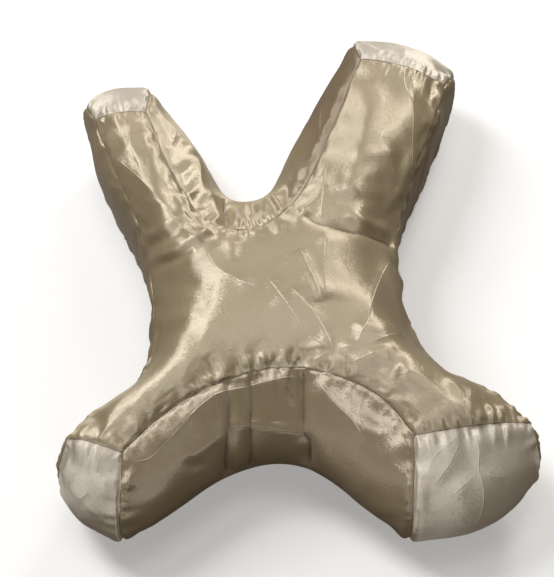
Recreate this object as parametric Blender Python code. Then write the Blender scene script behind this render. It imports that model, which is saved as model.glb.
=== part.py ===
"""Contoured sleeping pillow: one filled, boxed satin cushion with an X outline.

The pillow lies on its back panel. A short body carries four limbs: two long arms that
reach towards +Y with a deep notch between them, and two short, wide feet that reach
towards -Y with an arch between them. A face panel and a back panel of one outline are
sewn to a boxed wall, so each section runs from a crowned face over a seam, a swelling
wall and a second seam to the flat base.

The origin is at the bottom centre of the pillow's box, +Z is up, and units are metres.
"""

from typing import NamedTuple

import bmesh
import bpy
from mathutils import Vector

# Driving dimensions, in metres.
BODY_CROWN = 0.131          # highest point of the face over the surface
BACK_SEAM_HEIGHT = 0.019    # height of the seam between the wall and the back panel
BACK_SAG = 0.007            # how far the back would sag if the surface didn't flatten it
BACK_SPREAD = 0.40          # share of the way from seam to wall at which the back seam lies
ACROSS = 4                  # quads across a limb, and along each side of the body
FACE_FULLNESS = 2.6         # power of the crown's curve: 2 is round, more is flatter
WALL_LOOPS = (              # share of the wall's height, and share of its reach
    (0.78, 0.95),
    (0.27, 1.04),
)
END_DOME = 0.16             # dome of a limb's end wall, as a share of its width
SEAM_CREASE = 0.85          # sharpness of the two outline seams
CORNER_CREASE = 0.45        # sharpness of the upright seams at the limbs' ends
MIN_DROP = 0.015            # least drop of an edge that counts as upright
SMOOTHING_LEVELS = 2

SATIN_COLOUR = (0.46, 0.37, 0.27, 1.0)
SATIN_ROUGHNESS = 0.38
SATIN_METALLIC = 0.0


class Side(NamedTuple):
    """One side of a section: its face seam, and the fullest place of the wall below it."""

    seam_x: float
    seam_y: float
    height: float
    wall_x: float
    wall_y: float


class Section(NamedTuple):
    """A section across a limb: its outer side, its inner side and its crown's height."""

    outer: Side
    inner: Side
    crown: float


# The body's corners, where the seams of two neighbouring limbs meet.
NOTCH = Side(-0.018, 0.020, 0.121, -0.017, 0.076)
ARCH = Side(-0.018, -0.101, 0.118, -0.017, -0.155)
LEFT_WAIST = Side(-0.103, -0.025, 0.084, -0.106, -0.025)
RIGHT_WAIST = Side(0.100, -0.004, 0.084, 0.100, -0.004)

# A row for each section, from the one beside the body out to the limb's end.
# Outer side: seam x, y and height, wall x and y. Inner side: the same. Then the crown.
LEFT_ARM = (
    Section(Side(-0.103, 0.022, 0.097, -0.106, 0.022),
            Side(-0.050, 0.026, 0.121, -0.033, 0.080), 0.130),
    Section(Side(-0.116, 0.065, 0.105, -0.117, 0.065),
            Side(-0.069, 0.057, 0.120, -0.042, 0.104), 0.128),
    Section(Side(-0.130, 0.112, 0.107, -0.148, 0.122),
            Side(-0.085, 0.108, 0.117, -0.051, 0.138), 0.124),
    Section(Side(-0.141, 0.155, 0.105, -0.151, 0.198),
            Side(-0.097, 0.158, 0.110, -0.090, 0.207), 0.113),
)
RIGHT_ARM = (
    Section(Side(0.106, 0.034, 0.090, 0.104, 0.034),
            Side(0.006, 0.030, 0.121, 0.002, 0.080), 0.131),
    Section(Side(0.124, 0.074, 0.100, 0.118, 0.072),
            Side(0.030, 0.056, 0.120, 0.014, 0.106), 0.130),
    Section(Side(0.150, 0.122, 0.107, 0.152, 0.122),
            Side(0.062, 0.124, 0.117, 0.034, 0.148), 0.127),
    Section(Side(0.165, 0.162, 0.105, 0.183, 0.194),
            Side(0.094, 0.196, 0.110, 0.093, 0.240), 0.114),
)
LEFT_FOOT = (
    Section(Side(-0.107, -0.068, 0.080, -0.110, -0.064),
            Side(-0.046, -0.107, 0.118, -0.046, -0.160), 0.130),
    Section(Side(-0.130, -0.101, 0.083, -0.133, -0.095),
            Side(-0.076, -0.117, 0.117, -0.083, -0.176), 0.128),
    Section(Side(-0.160, -0.117, 0.092, -0.167, -0.110),
            Side(-0.107, -0.134, 0.114, -0.114, -0.202), 0.123),
    Section(Side(-0.176, -0.139, 0.105, -0.188, -0.158),
            Side(-0.134, -0.157, 0.109, -0.142, -0.204), 0.112),
)
RIGHT_FOOT = (
    Section(Side(0.100, -0.062, 0.080, 0.102, -0.058),
            Side(0.012, -0.104, 0.118, 0.006, -0.163), 0.130),
    Section(Side(0.121, -0.106, 0.082, 0.126, -0.099),
            Side(0.042, -0.115, 0.117, 0.026, -0.181), 0.130),
    Section(Side(0.160, -0.131, 0.092, 0.169, -0.123),
            Side(0.070, -0.133, 0.114, 0.048, -0.206), 0.126),
    Section(Side(0.180, -0.163, 0.103, 0.189, -0.187),
            Side(0.087, -0.166, 0.109, 0.079, -0.228), 0.113),
)

Vert = bmesh.types.BMVert
Edge = bmesh.types.BMEdge


def section_places(section: Section) -> list[Vector]:
    """Places along one section of the face, from its outer seam to its inner seam."""
    outer, inner, crown = section
    places = []
    for step in range(ACROSS + 1):
        share = step / ACROSS
        seam_height = outer.height * (1 - share) + inner.height * share
        rise = 1 - abs(2 * share - 1) ** FACE_FULLNESS
        places.append(Vector((
            outer.seam_x * (1 - share) + inner.seam_x * share,
            outer.seam_y * (1 - share) + inner.seam_y * share,
            seam_height + (crown - seam_height) * rise,
        )))
    return places


def wall_places(section: Section) -> list[Vector]:
    """Fullest places of the wall beside a section, domed out at a limb's end."""
    outer = Vector((section.outer.wall_x, section.outer.wall_y, 0.0))
    inner = Vector((section.inner.wall_x, section.inner.wall_y, 0.0))
    seam = Vector((section.inner.seam_x, section.inner.seam_y, 0.0))
    across = inner - outer
    away = Vector((-across.y, across.x, 0.0)).normalized()
    if away.dot(inner - seam) < 0:
        away.negate()
    places = []
    for step in range(ACROSS + 1):
        share = step / ACROSS
        dome = END_DOME * across.length * (1 - (2 * share - 1) ** 2)
        places.append(outer + across * share + away * dome)
    return places


class Pillow:
    """Builds the pillow's cage: the face and its limbs, the wall, and the back."""

    def __init__(self) -> None:
        """Start an empty cage, with a layer for the wall's place beside each seam vertex."""
        self.cage = bmesh.new()
        self.wall = self.cage.verts.layers.float_vector.new("wall")
        self.crease = self.cage.edges.layers.float.new("crease_edge")
        self.end_corners: list[Vert] = []

    def extrude(self, edges: list[Edge]) -> dict[Vert, Vert]:
        """Extrude edges and return the new vertex that grew from each old one."""
        made = bmesh.ops.extrude_edge_only(self.cage, edges=edges)
        fresh = {item for item in made["geom"] if isinstance(item, Vert)}
        grown = {}
        for vert in fresh:
            near = (edge.other_vert(vert) for edge in vert.link_edges)
            grown[next(other for other in near if other not in fresh)] = vert
        return grown

    def lay_body(self) -> dict[tuple[int, int], Vert]:
        """Spread a grid between the four sections where the limbs begin."""
        made = bmesh.ops.create_grid(
            self.cage, x_segments=ACROSS, y_segments=ACROSS, size=1.0
        )
        east = section_places(Section(RIGHT_WAIST, NOTCH, BODY_CROWN))
        south = section_places(Section(RIGHT_WAIST, ARCH, BODY_CROWN))
        west = section_places(Section(LEFT_WAIST, ARCH, BODY_CROWN))
        north = section_places(Section(LEFT_WAIST, NOTCH, BODY_CROWN))
        grid = {}
        for vert in made["verts"]:
            column = round((vert.co.x + 1) / 2 * ACROSS)
            line = round((vert.co.y + 1) / 2 * ACROSS)
            grid[column, line] = vert
            u, v = column / ACROSS, line / ACROSS
            sides = west[ACROSS - line] * (1 - u) + east[line] * u
            ends = south[ACROSS - column] * (1 - v) + north[column] * v
            low = west[ACROSS] * (1 - u) + east[0] * u
            high = west[0] * (1 - u) + east[ACROSS] * u
            vert.co = sides + ends - low * (1 - v) - high * v
            vert.co.z = min(vert.co.z, BODY_CROWN)
        corners = {
            (0, 0): ARCH, (0, ACROSS): LEFT_WAIST,
            (ACROSS, 0): RIGHT_WAIST, (ACROSS, ACROSS): NOTCH,
        }
        for spot, side in corners.items():
            grid[spot][self.wall] = Vector((side.wall_x, side.wall_y, 0.0))
        return grid

    def grow_limb(self, root: list[Vert], sections: tuple[Section, ...]) -> None:
        """Extrude a limb of the face from its root, one row of quads for each section."""
        row = root
        for section in sections:
            edges = [self.cage.edges.get(pair) for pair in zip(row, row[1:])]
            grown = self.extrude(edges)
            row = [grown[vert] for vert in row]
            for vert, place, wall in zip(row, section_places(section), wall_places(section)):
                vert.co = place
                vert[self.wall] = wall
        self.end_corners += [row[0], row[-1]]

    def sew_wall_and_back(self) -> None:
        """Copy the face to a flat back, and hang the swelling wall between the two."""
        cage = self.cage
        seam = [edge for edge in cage.edges if edge.is_boundary]
        rim = {vert: vert.co.copy() for edge in seam for vert in edge.verts}
        copied = bmesh.ops.duplicate(cage, geom=cage.verts[:] + cage.edges[:] + cage.faces[:])
        for vert in copied["geom_orig"]:
            if not isinstance(vert, Vert):
                continue
            twin = copied["vert_map"][vert]
            twin.co.z = -BACK_SAG
            if vert in rim:
                twin.co = self.wall_place(vert, rim[vert], 0.0, BACK_SPREAD)
        back_seam = [copied["edge_map"][edge] for edge in seam]
        hem = {vert: vert for vert in rim}
        edges = seam
        for height_share, reach in WALL_LOOPS:
            grown = self.extrude(edges)
            hem = {top: grown[low] for top, low in hem.items()}
            for top, low in hem.items():
                low.co = self.wall_place(top, rim[top], height_share, reach)
            edges = [cage.edges.get([hem[vert] for vert in edge.verts]) for edge in seam]
        bmesh.ops.bridge_loops(cage, edges=edges + back_seam)
        for edge in seam + back_seam:
            edge[self.crease] = SEAM_CREASE
        bmesh.ops.recalc_face_normals(cage, faces=cage.faces[:])

    def wall_place(self, vert: Vert, seam: Vector, height_share: float, reach: float) -> Vector:
        """Place on the wall under a seam vertex, at a share of its height and its reach."""
        place = seam.lerp(vert[self.wall], reach)
        place.z = BACK_SEAM_HEIGHT + (seam.z - BACK_SEAM_HEIGHT) * height_share
        return place

    def crease_corners(self) -> None:
        """Crease the upright seams that run down the wall from each end corner."""
        for corner in self.end_corners:
            vert = corner
            while True:
                down = [
                    edge for edge in vert.link_edges
                    if edge[self.crease] == 0.0
                    and edge.other_vert(vert).co.z < vert.co.z - MIN_DROP
                ]
                if not down:
                    break
                edge = max(down, key=lambda item: vert.co.z - item.other_vert(vert).co.z)
                edge[self.crease] = CORNER_CREASE
                vert = edge.other_vert(vert)


def build_pillow() -> bpy.types.Object:
    """Build the pillow, smooth it, press it flat where it lies, and centre it."""
    pillow = Pillow()
    grid = pillow.lay_body()
    span = range(ACROSS + 1)
    pillow.grow_limb([grid[step, ACROSS] for step in span], LEFT_ARM)
    pillow.grow_limb([grid[ACROSS, step] for step in span], RIGHT_ARM)
    pillow.grow_limb([grid[0, ACROSS - step] for step in span], LEFT_FOOT)
    pillow.grow_limb([grid[ACROSS - step, 0] for step in span], RIGHT_FOOT)
    pillow.sew_wall_and_back()
    pillow.crease_corners()
    mesh = bpy.data.meshes.new("pillow_cage")
    pillow.cage.to_mesh(mesh)
    pillow.cage.free()
    body = bpy.data.objects.new("pillow", mesh)
    bpy.context.scene.collection.objects.link(body)
    smoothing = body.modifiers.new("smoothing", "SUBSURF")
    smoothing.levels = SMOOTHING_LEVELS
    smoothing.render_levels = SMOOTHING_LEVELS
    smoothed = body.evaluated_get(bpy.context.evaluated_depsgraph_get())
    body.data = bpy.data.meshes.new_from_object(smoothed)
    body.data.name = "pillow"
    body.modifiers.clear()
    body.data.shade_smooth()
    press_and_centre(body.data)
    return body


def press_and_centre(mesh: bpy.types.Mesh) -> None:
    """Flatten what sags below the surface, and centre the mesh's box in plan."""
    across = [vert.co.x for vert in mesh.vertices]
    along = [vert.co.y for vert in mesh.vertices]
    middle = Vector((max(across) + min(across), max(along) + min(along), 0.0)) / 2
    for vert in mesh.vertices:
        vert.co -= middle
        vert.co.z = max(vert.co.z, 0.0)


def satin() -> bpy.types.Material:
    """Champagne satin."""
    material = bpy.data.materials.new("champagne_satin")
    material.use_nodes = True
    shader = material.node_tree.nodes["Principled BSDF"]
    shader.inputs["Base Color"].default_value = SATIN_COLOUR
    shader.inputs["Roughness"].default_value = SATIN_ROUGHNESS
    shader.inputs["Metallic"].default_value = SATIN_METALLIC
    return material


def main() -> None:
    """Clear the scene and build the pillow."""
    for item in list(bpy.data.objects):
        bpy.data.objects.remove(item, do_unlink=True)
    body = build_pillow()
    body.data.materials.append(satin())


main()
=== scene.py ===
"""Contoured sleeping pillow in champagne satin, lying on its back on a pale floor.

The cover is cut as a maker cuts it: a face and a back panel of one X outline, four wall
strips between the limbs, and four end panels. A cage of those panels is smoothed, filled
by a cloth simulation that gathers the panels along their seams, and then given its main
folds. Units are metres, +Z is up and +Y runs towards the two long arms.
"""

import logging
import math
from dataclasses import dataclass, field
from enum import Enum, IntEnum
from functools import cached_property
from typing import Any, NamedTuple, Sequence

import bmesh
import bpy
import numpy as np
from mathutils import Matrix, Vector, noise
from mathutils.bvhtree import BVHTree
from mathutils.kdtree import KDTree


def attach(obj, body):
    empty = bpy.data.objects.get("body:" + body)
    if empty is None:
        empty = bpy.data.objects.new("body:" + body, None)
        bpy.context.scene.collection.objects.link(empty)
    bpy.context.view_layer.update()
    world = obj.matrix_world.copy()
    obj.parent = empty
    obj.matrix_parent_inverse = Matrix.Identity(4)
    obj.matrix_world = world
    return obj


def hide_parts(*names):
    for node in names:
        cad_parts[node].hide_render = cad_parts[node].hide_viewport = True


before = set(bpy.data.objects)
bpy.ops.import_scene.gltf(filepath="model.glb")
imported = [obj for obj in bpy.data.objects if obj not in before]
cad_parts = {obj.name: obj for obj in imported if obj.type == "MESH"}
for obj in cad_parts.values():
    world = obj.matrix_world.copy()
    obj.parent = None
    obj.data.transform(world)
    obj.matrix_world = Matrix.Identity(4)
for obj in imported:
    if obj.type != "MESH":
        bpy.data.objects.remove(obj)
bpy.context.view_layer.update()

LOG = logging.getLogger("pillow")
MM = 0.001

Vert = bmesh.types.BMVert
Edge = bmesh.types.BMEdge
Face = bmesh.types.BMFace
Floats = np.ndarray
Colour = tuple[float, float, float, float]


class Side(NamedTuple):
    """One side of a section: its face seam, and the fullest place of the wall below it."""

    seam_x: float
    seam_y: float
    height: float
    wall_x: float
    wall_y: float


class Section(NamedTuple):
    """A section across a limb: its outer side, its inner side and its crown's height."""

    outer: Side
    inner: Side
    crown: float


class Panel(IntEnum):
    """The panels of the cover."""

    FACE = 0
    BACK = 1
    NOTCH_WALL = 2
    ARCH_WALL = 3
    LEFT_WALL = 4
    RIGHT_WALL = 5
    LEFT_ARM_END = 6
    RIGHT_ARM_END = 7
    LEFT_FOOT_END = 8
    RIGHT_FOOT_END = 9


END_PANELS = {
    Panel.LEFT_ARM_END, Panel.RIGHT_ARM_END, Panel.LEFT_FOOT_END, Panel.RIGHT_FOOT_END,
}


class Limb(NamedTuple):
    """A limb's sections from the body outwards, and the wall panels round it."""

    sections: tuple[Section, ...]
    outer_wall: Panel
    inner_wall: Panel
    end: Panel


# The body's corners, where the seams of two neighbouring limbs meet.
NOTCH = Side(-0.018, 0.020, 0.121, -0.017, 0.076)
ARCH = Side(-0.018, -0.101, 0.118, -0.017, -0.155)
LEFT_WAIST = Side(-0.103, -0.025, 0.084, -0.106, -0.025)
RIGHT_WAIST = Side(0.100, -0.004, 0.084, 0.100, -0.004)

# A row for each section, from the one beside the body out to the limb's end.
# Outer side: seam x, y and height, wall x and y. Inner side: the same. Then the crown.
LEFT_ARM = Limb((
    Section(Side(-0.103, 0.022, 0.097, -0.106, 0.022),
            Side(-0.050, 0.026, 0.121, -0.033, 0.080), 0.130),
    Section(Side(-0.116, 0.065, 0.105, -0.117, 0.065),
            Side(-0.069, 0.057, 0.120, -0.042, 0.104), 0.128),
    Section(Side(-0.130, 0.112, 0.107, -0.148, 0.122),
            Side(-0.085, 0.108, 0.117, -0.051, 0.138), 0.124),
    Section(Side(-0.141, 0.155, 0.105, -0.151, 0.198),
            Side(-0.097, 0.158, 0.110, -0.090, 0.207), 0.113),
), Panel.LEFT_WALL, Panel.NOTCH_WALL, Panel.LEFT_ARM_END)
RIGHT_ARM = Limb((
    Section(Side(0.106, 0.034, 0.090, 0.104, 0.034),
            Side(0.006, 0.030, 0.121, 0.002, 0.080), 0.131),
    Section(Side(0.124, 0.074, 0.100, 0.118, 0.072),
            Side(0.030, 0.056, 0.120, 0.014, 0.106), 0.130),
    Section(Side(0.150, 0.122, 0.107, 0.152, 0.122),
            Side(0.062, 0.124, 0.117, 0.034, 0.148), 0.127),
    Section(Side(0.165, 0.162, 0.105, 0.183, 0.194),
            Side(0.094, 0.196, 0.110, 0.093, 0.240), 0.114),
), Panel.RIGHT_WALL, Panel.NOTCH_WALL, Panel.RIGHT_ARM_END)
LEFT_FOOT = Limb((
    Section(Side(-0.107, -0.068, 0.080, -0.110, -0.064),
            Side(-0.046, -0.107, 0.118, -0.046, -0.160), 0.130),
    Section(Side(-0.130, -0.101, 0.083, -0.133, -0.095),
            Side(-0.076, -0.117, 0.117, -0.083, -0.176), 0.128),
    Section(Side(-0.160, -0.117, 0.092, -0.167, -0.110),
            Side(-0.107, -0.134, 0.114, -0.114, -0.202), 0.123),
    Section(Side(-0.176, -0.139, 0.105, -0.188, -0.158),
            Side(-0.134, -0.157, 0.109, -0.142, -0.204), 0.112),
), Panel.LEFT_WALL, Panel.ARCH_WALL, Panel.LEFT_FOOT_END)
RIGHT_FOOT = Limb((
    Section(Side(0.100, -0.062, 0.080, 0.102, -0.058),
            Side(0.012, -0.104, 0.118, 0.006, -0.163), 0.130),
    Section(Side(0.121, -0.106, 0.082, 0.126, -0.099),
            Side(0.042, -0.115, 0.117, 0.026, -0.181), 0.130),
    Section(Side(0.160, -0.131, 0.092, 0.169, -0.123),
            Side(0.070, -0.133, 0.114, 0.048, -0.206), 0.126),
    Section(Side(0.180, -0.163, 0.103, 0.189, -0.187),
            Side(0.087, -0.166, 0.109, 0.079, -0.228), 0.113),
), Panel.RIGHT_WALL, Panel.ARCH_WALL, Panel.RIGHT_FOOT_END)


class Bend(Enum):
    """How the cloth bends along a fold."""

    SHARP = "a pressed edge between two facets"
    SOFT = "a rounded roll or hollow"


SHARP, SOFT = Bend.SHARP, Bend.SOFT


class Fold(NamedTuple):
    """A fold, in millimetres.

    height is over the cloth round it, or below it where negative. left and right say how
    far the flanks reach on either side of the path, whose points are (x, y) or (x, y, z).
    """

    height: float
    left: float
    right: float
    bend: Bend
    path: tuple[tuple[float, ...], ...]


class Gather(NamedTuple):
    """A stretch of seam that puckers more, in millimetres: centre, reach and strength."""

    x: float
    y: float
    z: float
    reach: float
    strength: float


LEFT_ARM_FOLDS = (
    Fold(1.8, 14, 5, SHARP, ((-129, 112, 109), (-103, 71), (-79, 29), (-59, -1))),
    Fold(1.0, 6, 5, SHARP, ((-104, 56), (-92, 46), (-77, 37))),
    Fold(0.8, 5, 5, SHARP, ((-111, 136), (-112, 112), (-121, 97), (-119, 90))),
    Fold(1.0, 4, 4, SHARP, ((-130, 90, 92), (-124, 81, 101), (-121, 72, 108))),
    Fold(0.9, 4, 4, SHARP, ((-91, 20), (-89, 5))),
    Fold(0.8, 4, 4, SHARP, ((-106, 174), (-109, 150))),
    # Armpit: rolls and hollows that run in from the waist.
    Fold(-2.6, 5, 5, SOFT, ((-103, 18, 102), (-86, 14), (-70, 19), (-58, 18))),
    Fold(2.6, 4, 4, SOFT, ((-104, 10, 96), (-83, 1), (-66, 7), (-52, 15))),
    Fold(-2.2, 4, 4, SOFT, ((-104, 1, 94), (-83, -4), (-66, -3))),
    Fold(1.8, 4, 3, SOFT, ((-95, 27), (-82, 26), (-69, 33))),
    Fold(1.6, 3, 3, SOFT, ((-104, 28, 106), (-94, 23), (-82, 20))),
    Fold(1.6, 3, 3, SOFT, ((-104, 17, 100), (-92, 10), (-78, 6), (-69, 1))),
    Fold(1.2, 4, 4, SHARP, ((-72, 27), (-65, 15), (-57, 5))),
    Fold(1.4, 6, 4, SHARP, ((-74, -12), (-56, -9), (-40, 1))),
    # Inner wall.
    Fold(2.0, 5, 5, SHARP, ((-91, 153, 106), (-85, 133), (-78, 110))),
    Fold(1.5, 4, 4, SHARP, ((-73, 134, 100), (-77, 110))),
    Fold(2.4, 5, 9, SHARP, ((-68, 121, 102), (-57, 105, 98), (-56, 74), (-49, 55))),
    Fold(1.6, 6, 6, SHARP, ((-90, 176, 95), (-87, 154), (-75, 136, 101), (-58, 106, 99))),
    Fold(2.2, 4, 4, SHARP, ((-58, 44), (-53, 53), (-46, 63, 105))),
    Fold(1.4, 5, 5, SOFT, ((-74, 74), (-67, 84), (-62, 96))),
    Fold(1.2, 5, 5, SOFT, ((-72, 52), (-64, 60), (-57, 74))),
)
RIGHT_ARM_FOLDS = (
    Fold(2.4, 13, 11, SOFT, ((90, 160), (93, 124), (84, 94), (73, 62), (64, 36))),
    Fold(0.6, 5, 5, SHARP, ((94, 100), (100, 84), (107, 70))),
    Fold(1.1, 6, 12, SHARP, ((129, 171), (126, 149), (129, 127), (125, 97, 116), (117, 64, 104))),
    Fold(0.8, 4, 4, SHARP, ((134, 163), (130, 128))),
    Fold(-1.5, 4, 4, SOFT, ((151, 159), (147, 136))),
    Fold(1.3, 4, 4, SOFT, ((158, 150), (155, 130, 106))),
    Fold(0.8, 5, 5, SHARP, ((91, 94), (100, 82), (103, 66), (106, 54, 111))),
    Fold(0.8, 5, 6, SHARP, ((49, 75), (38, 19))),
    Fold(-0.9, 6, 6, SOFT, ((55, 55), (73, 48), (98, 54, 114))),
    Fold(-0.8, 6, 6, SOFT, ((49, 36), (71, 31), (98, 37, 109))),
    Fold(1.0, 5, 5, SOFT, ((68, 82), (85, 74), (110, 81))),
    # The deep fold across its base.
    Fold(-5.0, 12, 4, SHARP, ((24, 24), (39, 12), (66, 5), (86, 5), (101, 7, 92))),
    Fold(3.0, 6, 5, SOFT, ((56, 18), (78, 13, 118), (97, 15, 99))),
    Fold(1.8, 3, 3, SOFT, ((22, 33), (30, 22), (42, 20))),
    # End panel, and the short puckers down the inner wall.
    Fold(1.0, 4, 4, SHARP, ((136, 204), (129, 180))),
    Fold(0.8, 4, 4, SHARP, ((55, 150, 99), (47, 94))),
    Fold(1.4, 3, 3, SOFT, ((75, 162), (66, 147, 109))),
    Fold(1.4, 3, 3, SOFT, ((67, 146), (58, 126))),
    Fold(1.4, 3, 3, SOFT, ((59, 126), (50, 107))),
    Fold(1.4, 3, 3, SOFT, ((46, 102), (36, 84))),
    Fold(1.2, 3, 3, SOFT, ((30, 77), (24, 65))),
    Fold(1.2, 3, 3, SOFT, ((21, 59), (15, 49))),
)
BODY_FOLDS = (
    Fold(2.0, 5, 12, SHARP, ((18, -11), (22, -27), (26, -41), (30, -61))),
    Fold(1.9, 18, 5, SHARP, ((40, 4), (35, -28), (31, -60))),
    Fold(1.8, 7, 16, SHARP, ((6, -46), (24, -73), (33, -97), (32, -103))),
    Fold(0.9, 8, 10, SHARP, ((-10, -36), (6, -68), (15, -86), (30, -101))),
    Fold(1.3, 5, 9, SHARP, ((-59, -1), (-46, -25), (-20, -44))),
    Fold(1.8, 16, 5, SHARP, ((90, -10, 98), (71, -54), (62, -81), (52, -98))),
    Fold(1.5, 4, 4, SHARP, ((62, -82), (80, -85), (89, -88, 114))),
    Fold(1.8, 4, 6, SHARP, ((88, -91), (64, -100), (36, -101))),
    Fold(0.8, 3, 3, SHARP, ((33, -101), (13, -108))),
    Fold(0.9, 3, 3, SHARP, ((44, -102), (42, -119))),
    Fold(0.9, 4, 4, SHARP, ((75, -104), (72, -120))),
    Fold(-1.2, 9, 9, SOFT, ((-103, -13, 90), (-76, -28), (-52, -39))),
    Fold(-1.1, 8, 8, SOFT, ((-105, -29, 82), (-77, -46), (-56, -56))),
    Fold(-1.0, 8, 8, SOFT, ((-103, -54, 82), (-83, -69), (-63, -76))),
    Fold(-1.0, 5, 5, SOFT, ((-35, 12), (-36, -18))),
    Fold(-1.6, 5, 5, SOFT, ((-65, -97), (-60, -105), (-56, -113))),
    Fold(2.2, 4, 4, SOFT, ((50, -83), (65, -89), (80, -91))),
    Fold(-2.0, 4, 4, SOFT, ((54, -98), (68, -102), (80, -100))),
    Fold(1.6, 4, 6, SHARP, ((45, -113), (62, -109), (80, -105))),
    # Pleats that run up from the arch's seam, and down from the notch's.
    Fold(1.5, 3, 2, SOFT, ((-79, -118), (-74, -125))),
    Fold(1.5, 3, 2, SOFT, ((-66, -111), (-61, -119))),
    Fold(1.6, 3, 2, SOFT, ((-33, -97), (-32, -107))),
    Fold(1.8, 3, 2, SOFT, ((-21, -96), (-21, -106))),
    Fold(1.6, 2, 3, SOFT, ((-13, -95), (-14, -106))),
    Fold(1.8, 3, 3, SOFT, ((-3, -93), (-4, -106))),
    Fold(1.4, 2, 2, SOFT, ((5, -97), (5, -107))),
    Fold(0.9, 4, 4, SOFT, ((-32, 14), (-32, 1))),
    Fold(0.9, 4, 4, SOFT, ((-22, 16), (-22, 1))),
    Fold(0.9, 4, 4, SOFT, ((-10, 19), (-8, 3))),
    Fold(0.9, 4, 4, SOFT, ((2, 20), (4, 5))),
)
FOOT_FOLDS = (
    Fold(3.4, 6, 16, SHARP, ((80, -121), (97, -132), (111, -147), (125, -161), (129, -171))),
    Fold(1.7, 4, 4, SHARP, ((117, -133), (123, -143), (126, -156), (130, -162))),
    Fold(3.0, 12, 4, SHARP, ((133, -139), (131, -149), (128, -159), (130, -171))),
    Fold(0.8, 4, 4, SHARP, ((79, -143), (89, -151), (97, -167))),
    Fold(0.8, 3, 3, SHARP, ((143, -142, 113), (142, -153))),
    Fold(-1.2, 5, 5, SOFT, ((-158, -126, 98), (-143, -140))),
    Fold(1.0, 6, 6, SOFT, ((-109, -126), (-137, -134), (-149, -146))),
    Fold(1.0, 6, 6, SOFT, ((-95, -127), (-118, -140), (-133, -155))),
    Fold(1.3, 6, 6, SHARP, ((78, -125), (94, -137), (109, -151))),
    # Bulbs over the right foot's end seam.
    Fold(2.0, 3, 3, SOFT, ((128, -156), (127, -167))),
    Fold(2.4, 3, 3, SOFT, ((137, -157), (137, -167))),
    Fold(2.4, 3, 3, SOFT, ((147, -155), (146, -166))),
    Fold(2.2, 3, 3, SOFT, ((158, -153), (156, -165))),
    Fold(2.0, 3, 3, SOFT, ((167, -152), (166, -162))),
    # Right foot's end panel.
    Fold(1.1, 9, 9, SHARP, (
        (131, -175), (134, -188), (132, -201), (134, -210, 94), (134, -221, 85), (128, -230, 60),
    )),
    Fold(1.3, 5, 5, SHARP, ((132, -202), (121, -209), (109, -217, 91))),
    Fold(1.2, 5, 5, SHARP, ((133, -201), (141, -205), (153, -206, 92))),
    Fold(1.2, 5, 5, SHARP, ((124, -175), (113, -181), (98, -191), (94, -205))),
    Fold(1.0, 5, 5, SHARP, ((120, -180), (111, -195), (97, -209))),
    Fold(1.0, 4, 4, SHARP, ((98, -172), (98, -190))),
    # Left foot's end panel.
    Fold(1.2, 4, 4, SHARP, ((-177, -173, 88), (-169, -186, 86), (-161, -185, 93))),
    Fold(1.2, 4, 4, SHARP, ((-165, -189, 86), (-157, -199, 78), (-152, -202, 75))),
    Fold(0.8, 3, 3, SHARP, ((-150, -161), (-154, -173))),
)
ARCH_FOLDS = (
    # The ridges below the seam, from the left foot's end to the middle.
    Fold(1.6, 5, 7, SHARP, ((-89, -146), (-75, -134), (-58, -124), (-35, -120), (-9, -116), (6, -116))),
    Fold(1.6, 5, 8, SHARP, ((-72, -132), (-89, -147), (-100, -157), (-113, -167), (-126, -170))),
    Fold(1.5, 5, 5, SHARP, ((-53, -147), (-34, -147, 98), (-18, -148, 95), (8, -156, 94))),
    # Hollows that hang from the seam.
    Fold(-5.0, 4, 3, SHARP, ((-49, -113), (-51, -142), (-54, -165, 81), (-54, -170, 50))),
    Fold(-4.5, 3, 4, SHARP, ((-31, -110), (-34, -143), (-36, -162, 70), (-36, -164, 45))),
    Fold(-5.0, 3, 5, SHARP, ((9, -110), (6, -137), (4, -156, 93), (7, -163, 86), (8, -166, 60))),
    Fold(-1.6, 3, 3, SHARP, ((-6, -118), (3, -143), (6, -154, 95))),
    Fold(0.9, 6, 6, SOFT, ((-12, -144, 100), (-8, -162, 64))),
    # The leaf at the left, and the crossing edges at the right.
    Fold(1.0, 4, 4, SHARP, ((-63, -118), (-60, -132), (-57, -149))),
    Fold(1.6, 4, 4, SHARP, ((-53, -150), (-65, -156, 98), (-78, -164, 96), (-89, -166))),
    Fold(-1.6, 4, 4, SOFT, ((-89, -168), (-80, -171, 90), (-69, -169, 86))),
    Fold(1.9, 5, 9, SHARP, ((17, -120), (32, -141), (42, -153), (51, -170))),
    Fold(1.2, 4, 4, SHARP, ((51, -170), (48, -149), (52, -138))),
    Fold(1.0, 4, 4, SHARP, ((43, -129), (43, -141), (38, -150))),
    Fold(1.0, 5, 5, SOFT, ((50, -151), (59, -165), (75, -160))),
    Fold(0.8, 4, 4, SHARP, ((78, -170), (84, -182))),
    Fold(1.0, 8, 8, SOFT, ((9, -160, 92), (23, -175, 84), (45, -203, 71))),
    Fold(1.3, 4, 4, SHARP, ((-127, -173), (-132, -186), (-139, -203, 80))),
)
NOTCH_FOLDS = (
    Fold(-5.5, 5, 5, SHARP, ((-36, 60), (-36, 36), (-38, 21))),
    Fold(2.8, 4, 4, SHARP, ((-49, 59), (-42, 39), (-41, 24))),
    Fold(2.0, 4, 4, SHARP, ((-31, 49), (-23, 25))),
    Fold(-2.6, 4, 4, SOFT, ((-16, 60, 97), (-15, 34))),
    Fold(1.8, 4, 4, SHARP, ((-1, 59, 101), (-4, 35), (-5, 22))),
    Fold(2.0, 4, 4, SOFT, ((3, 59, 103), (10, 30))),
    Fold(-2.2, 5, 5, SOFT, ((16, 67, 107), (14, 46))),
)
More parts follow.
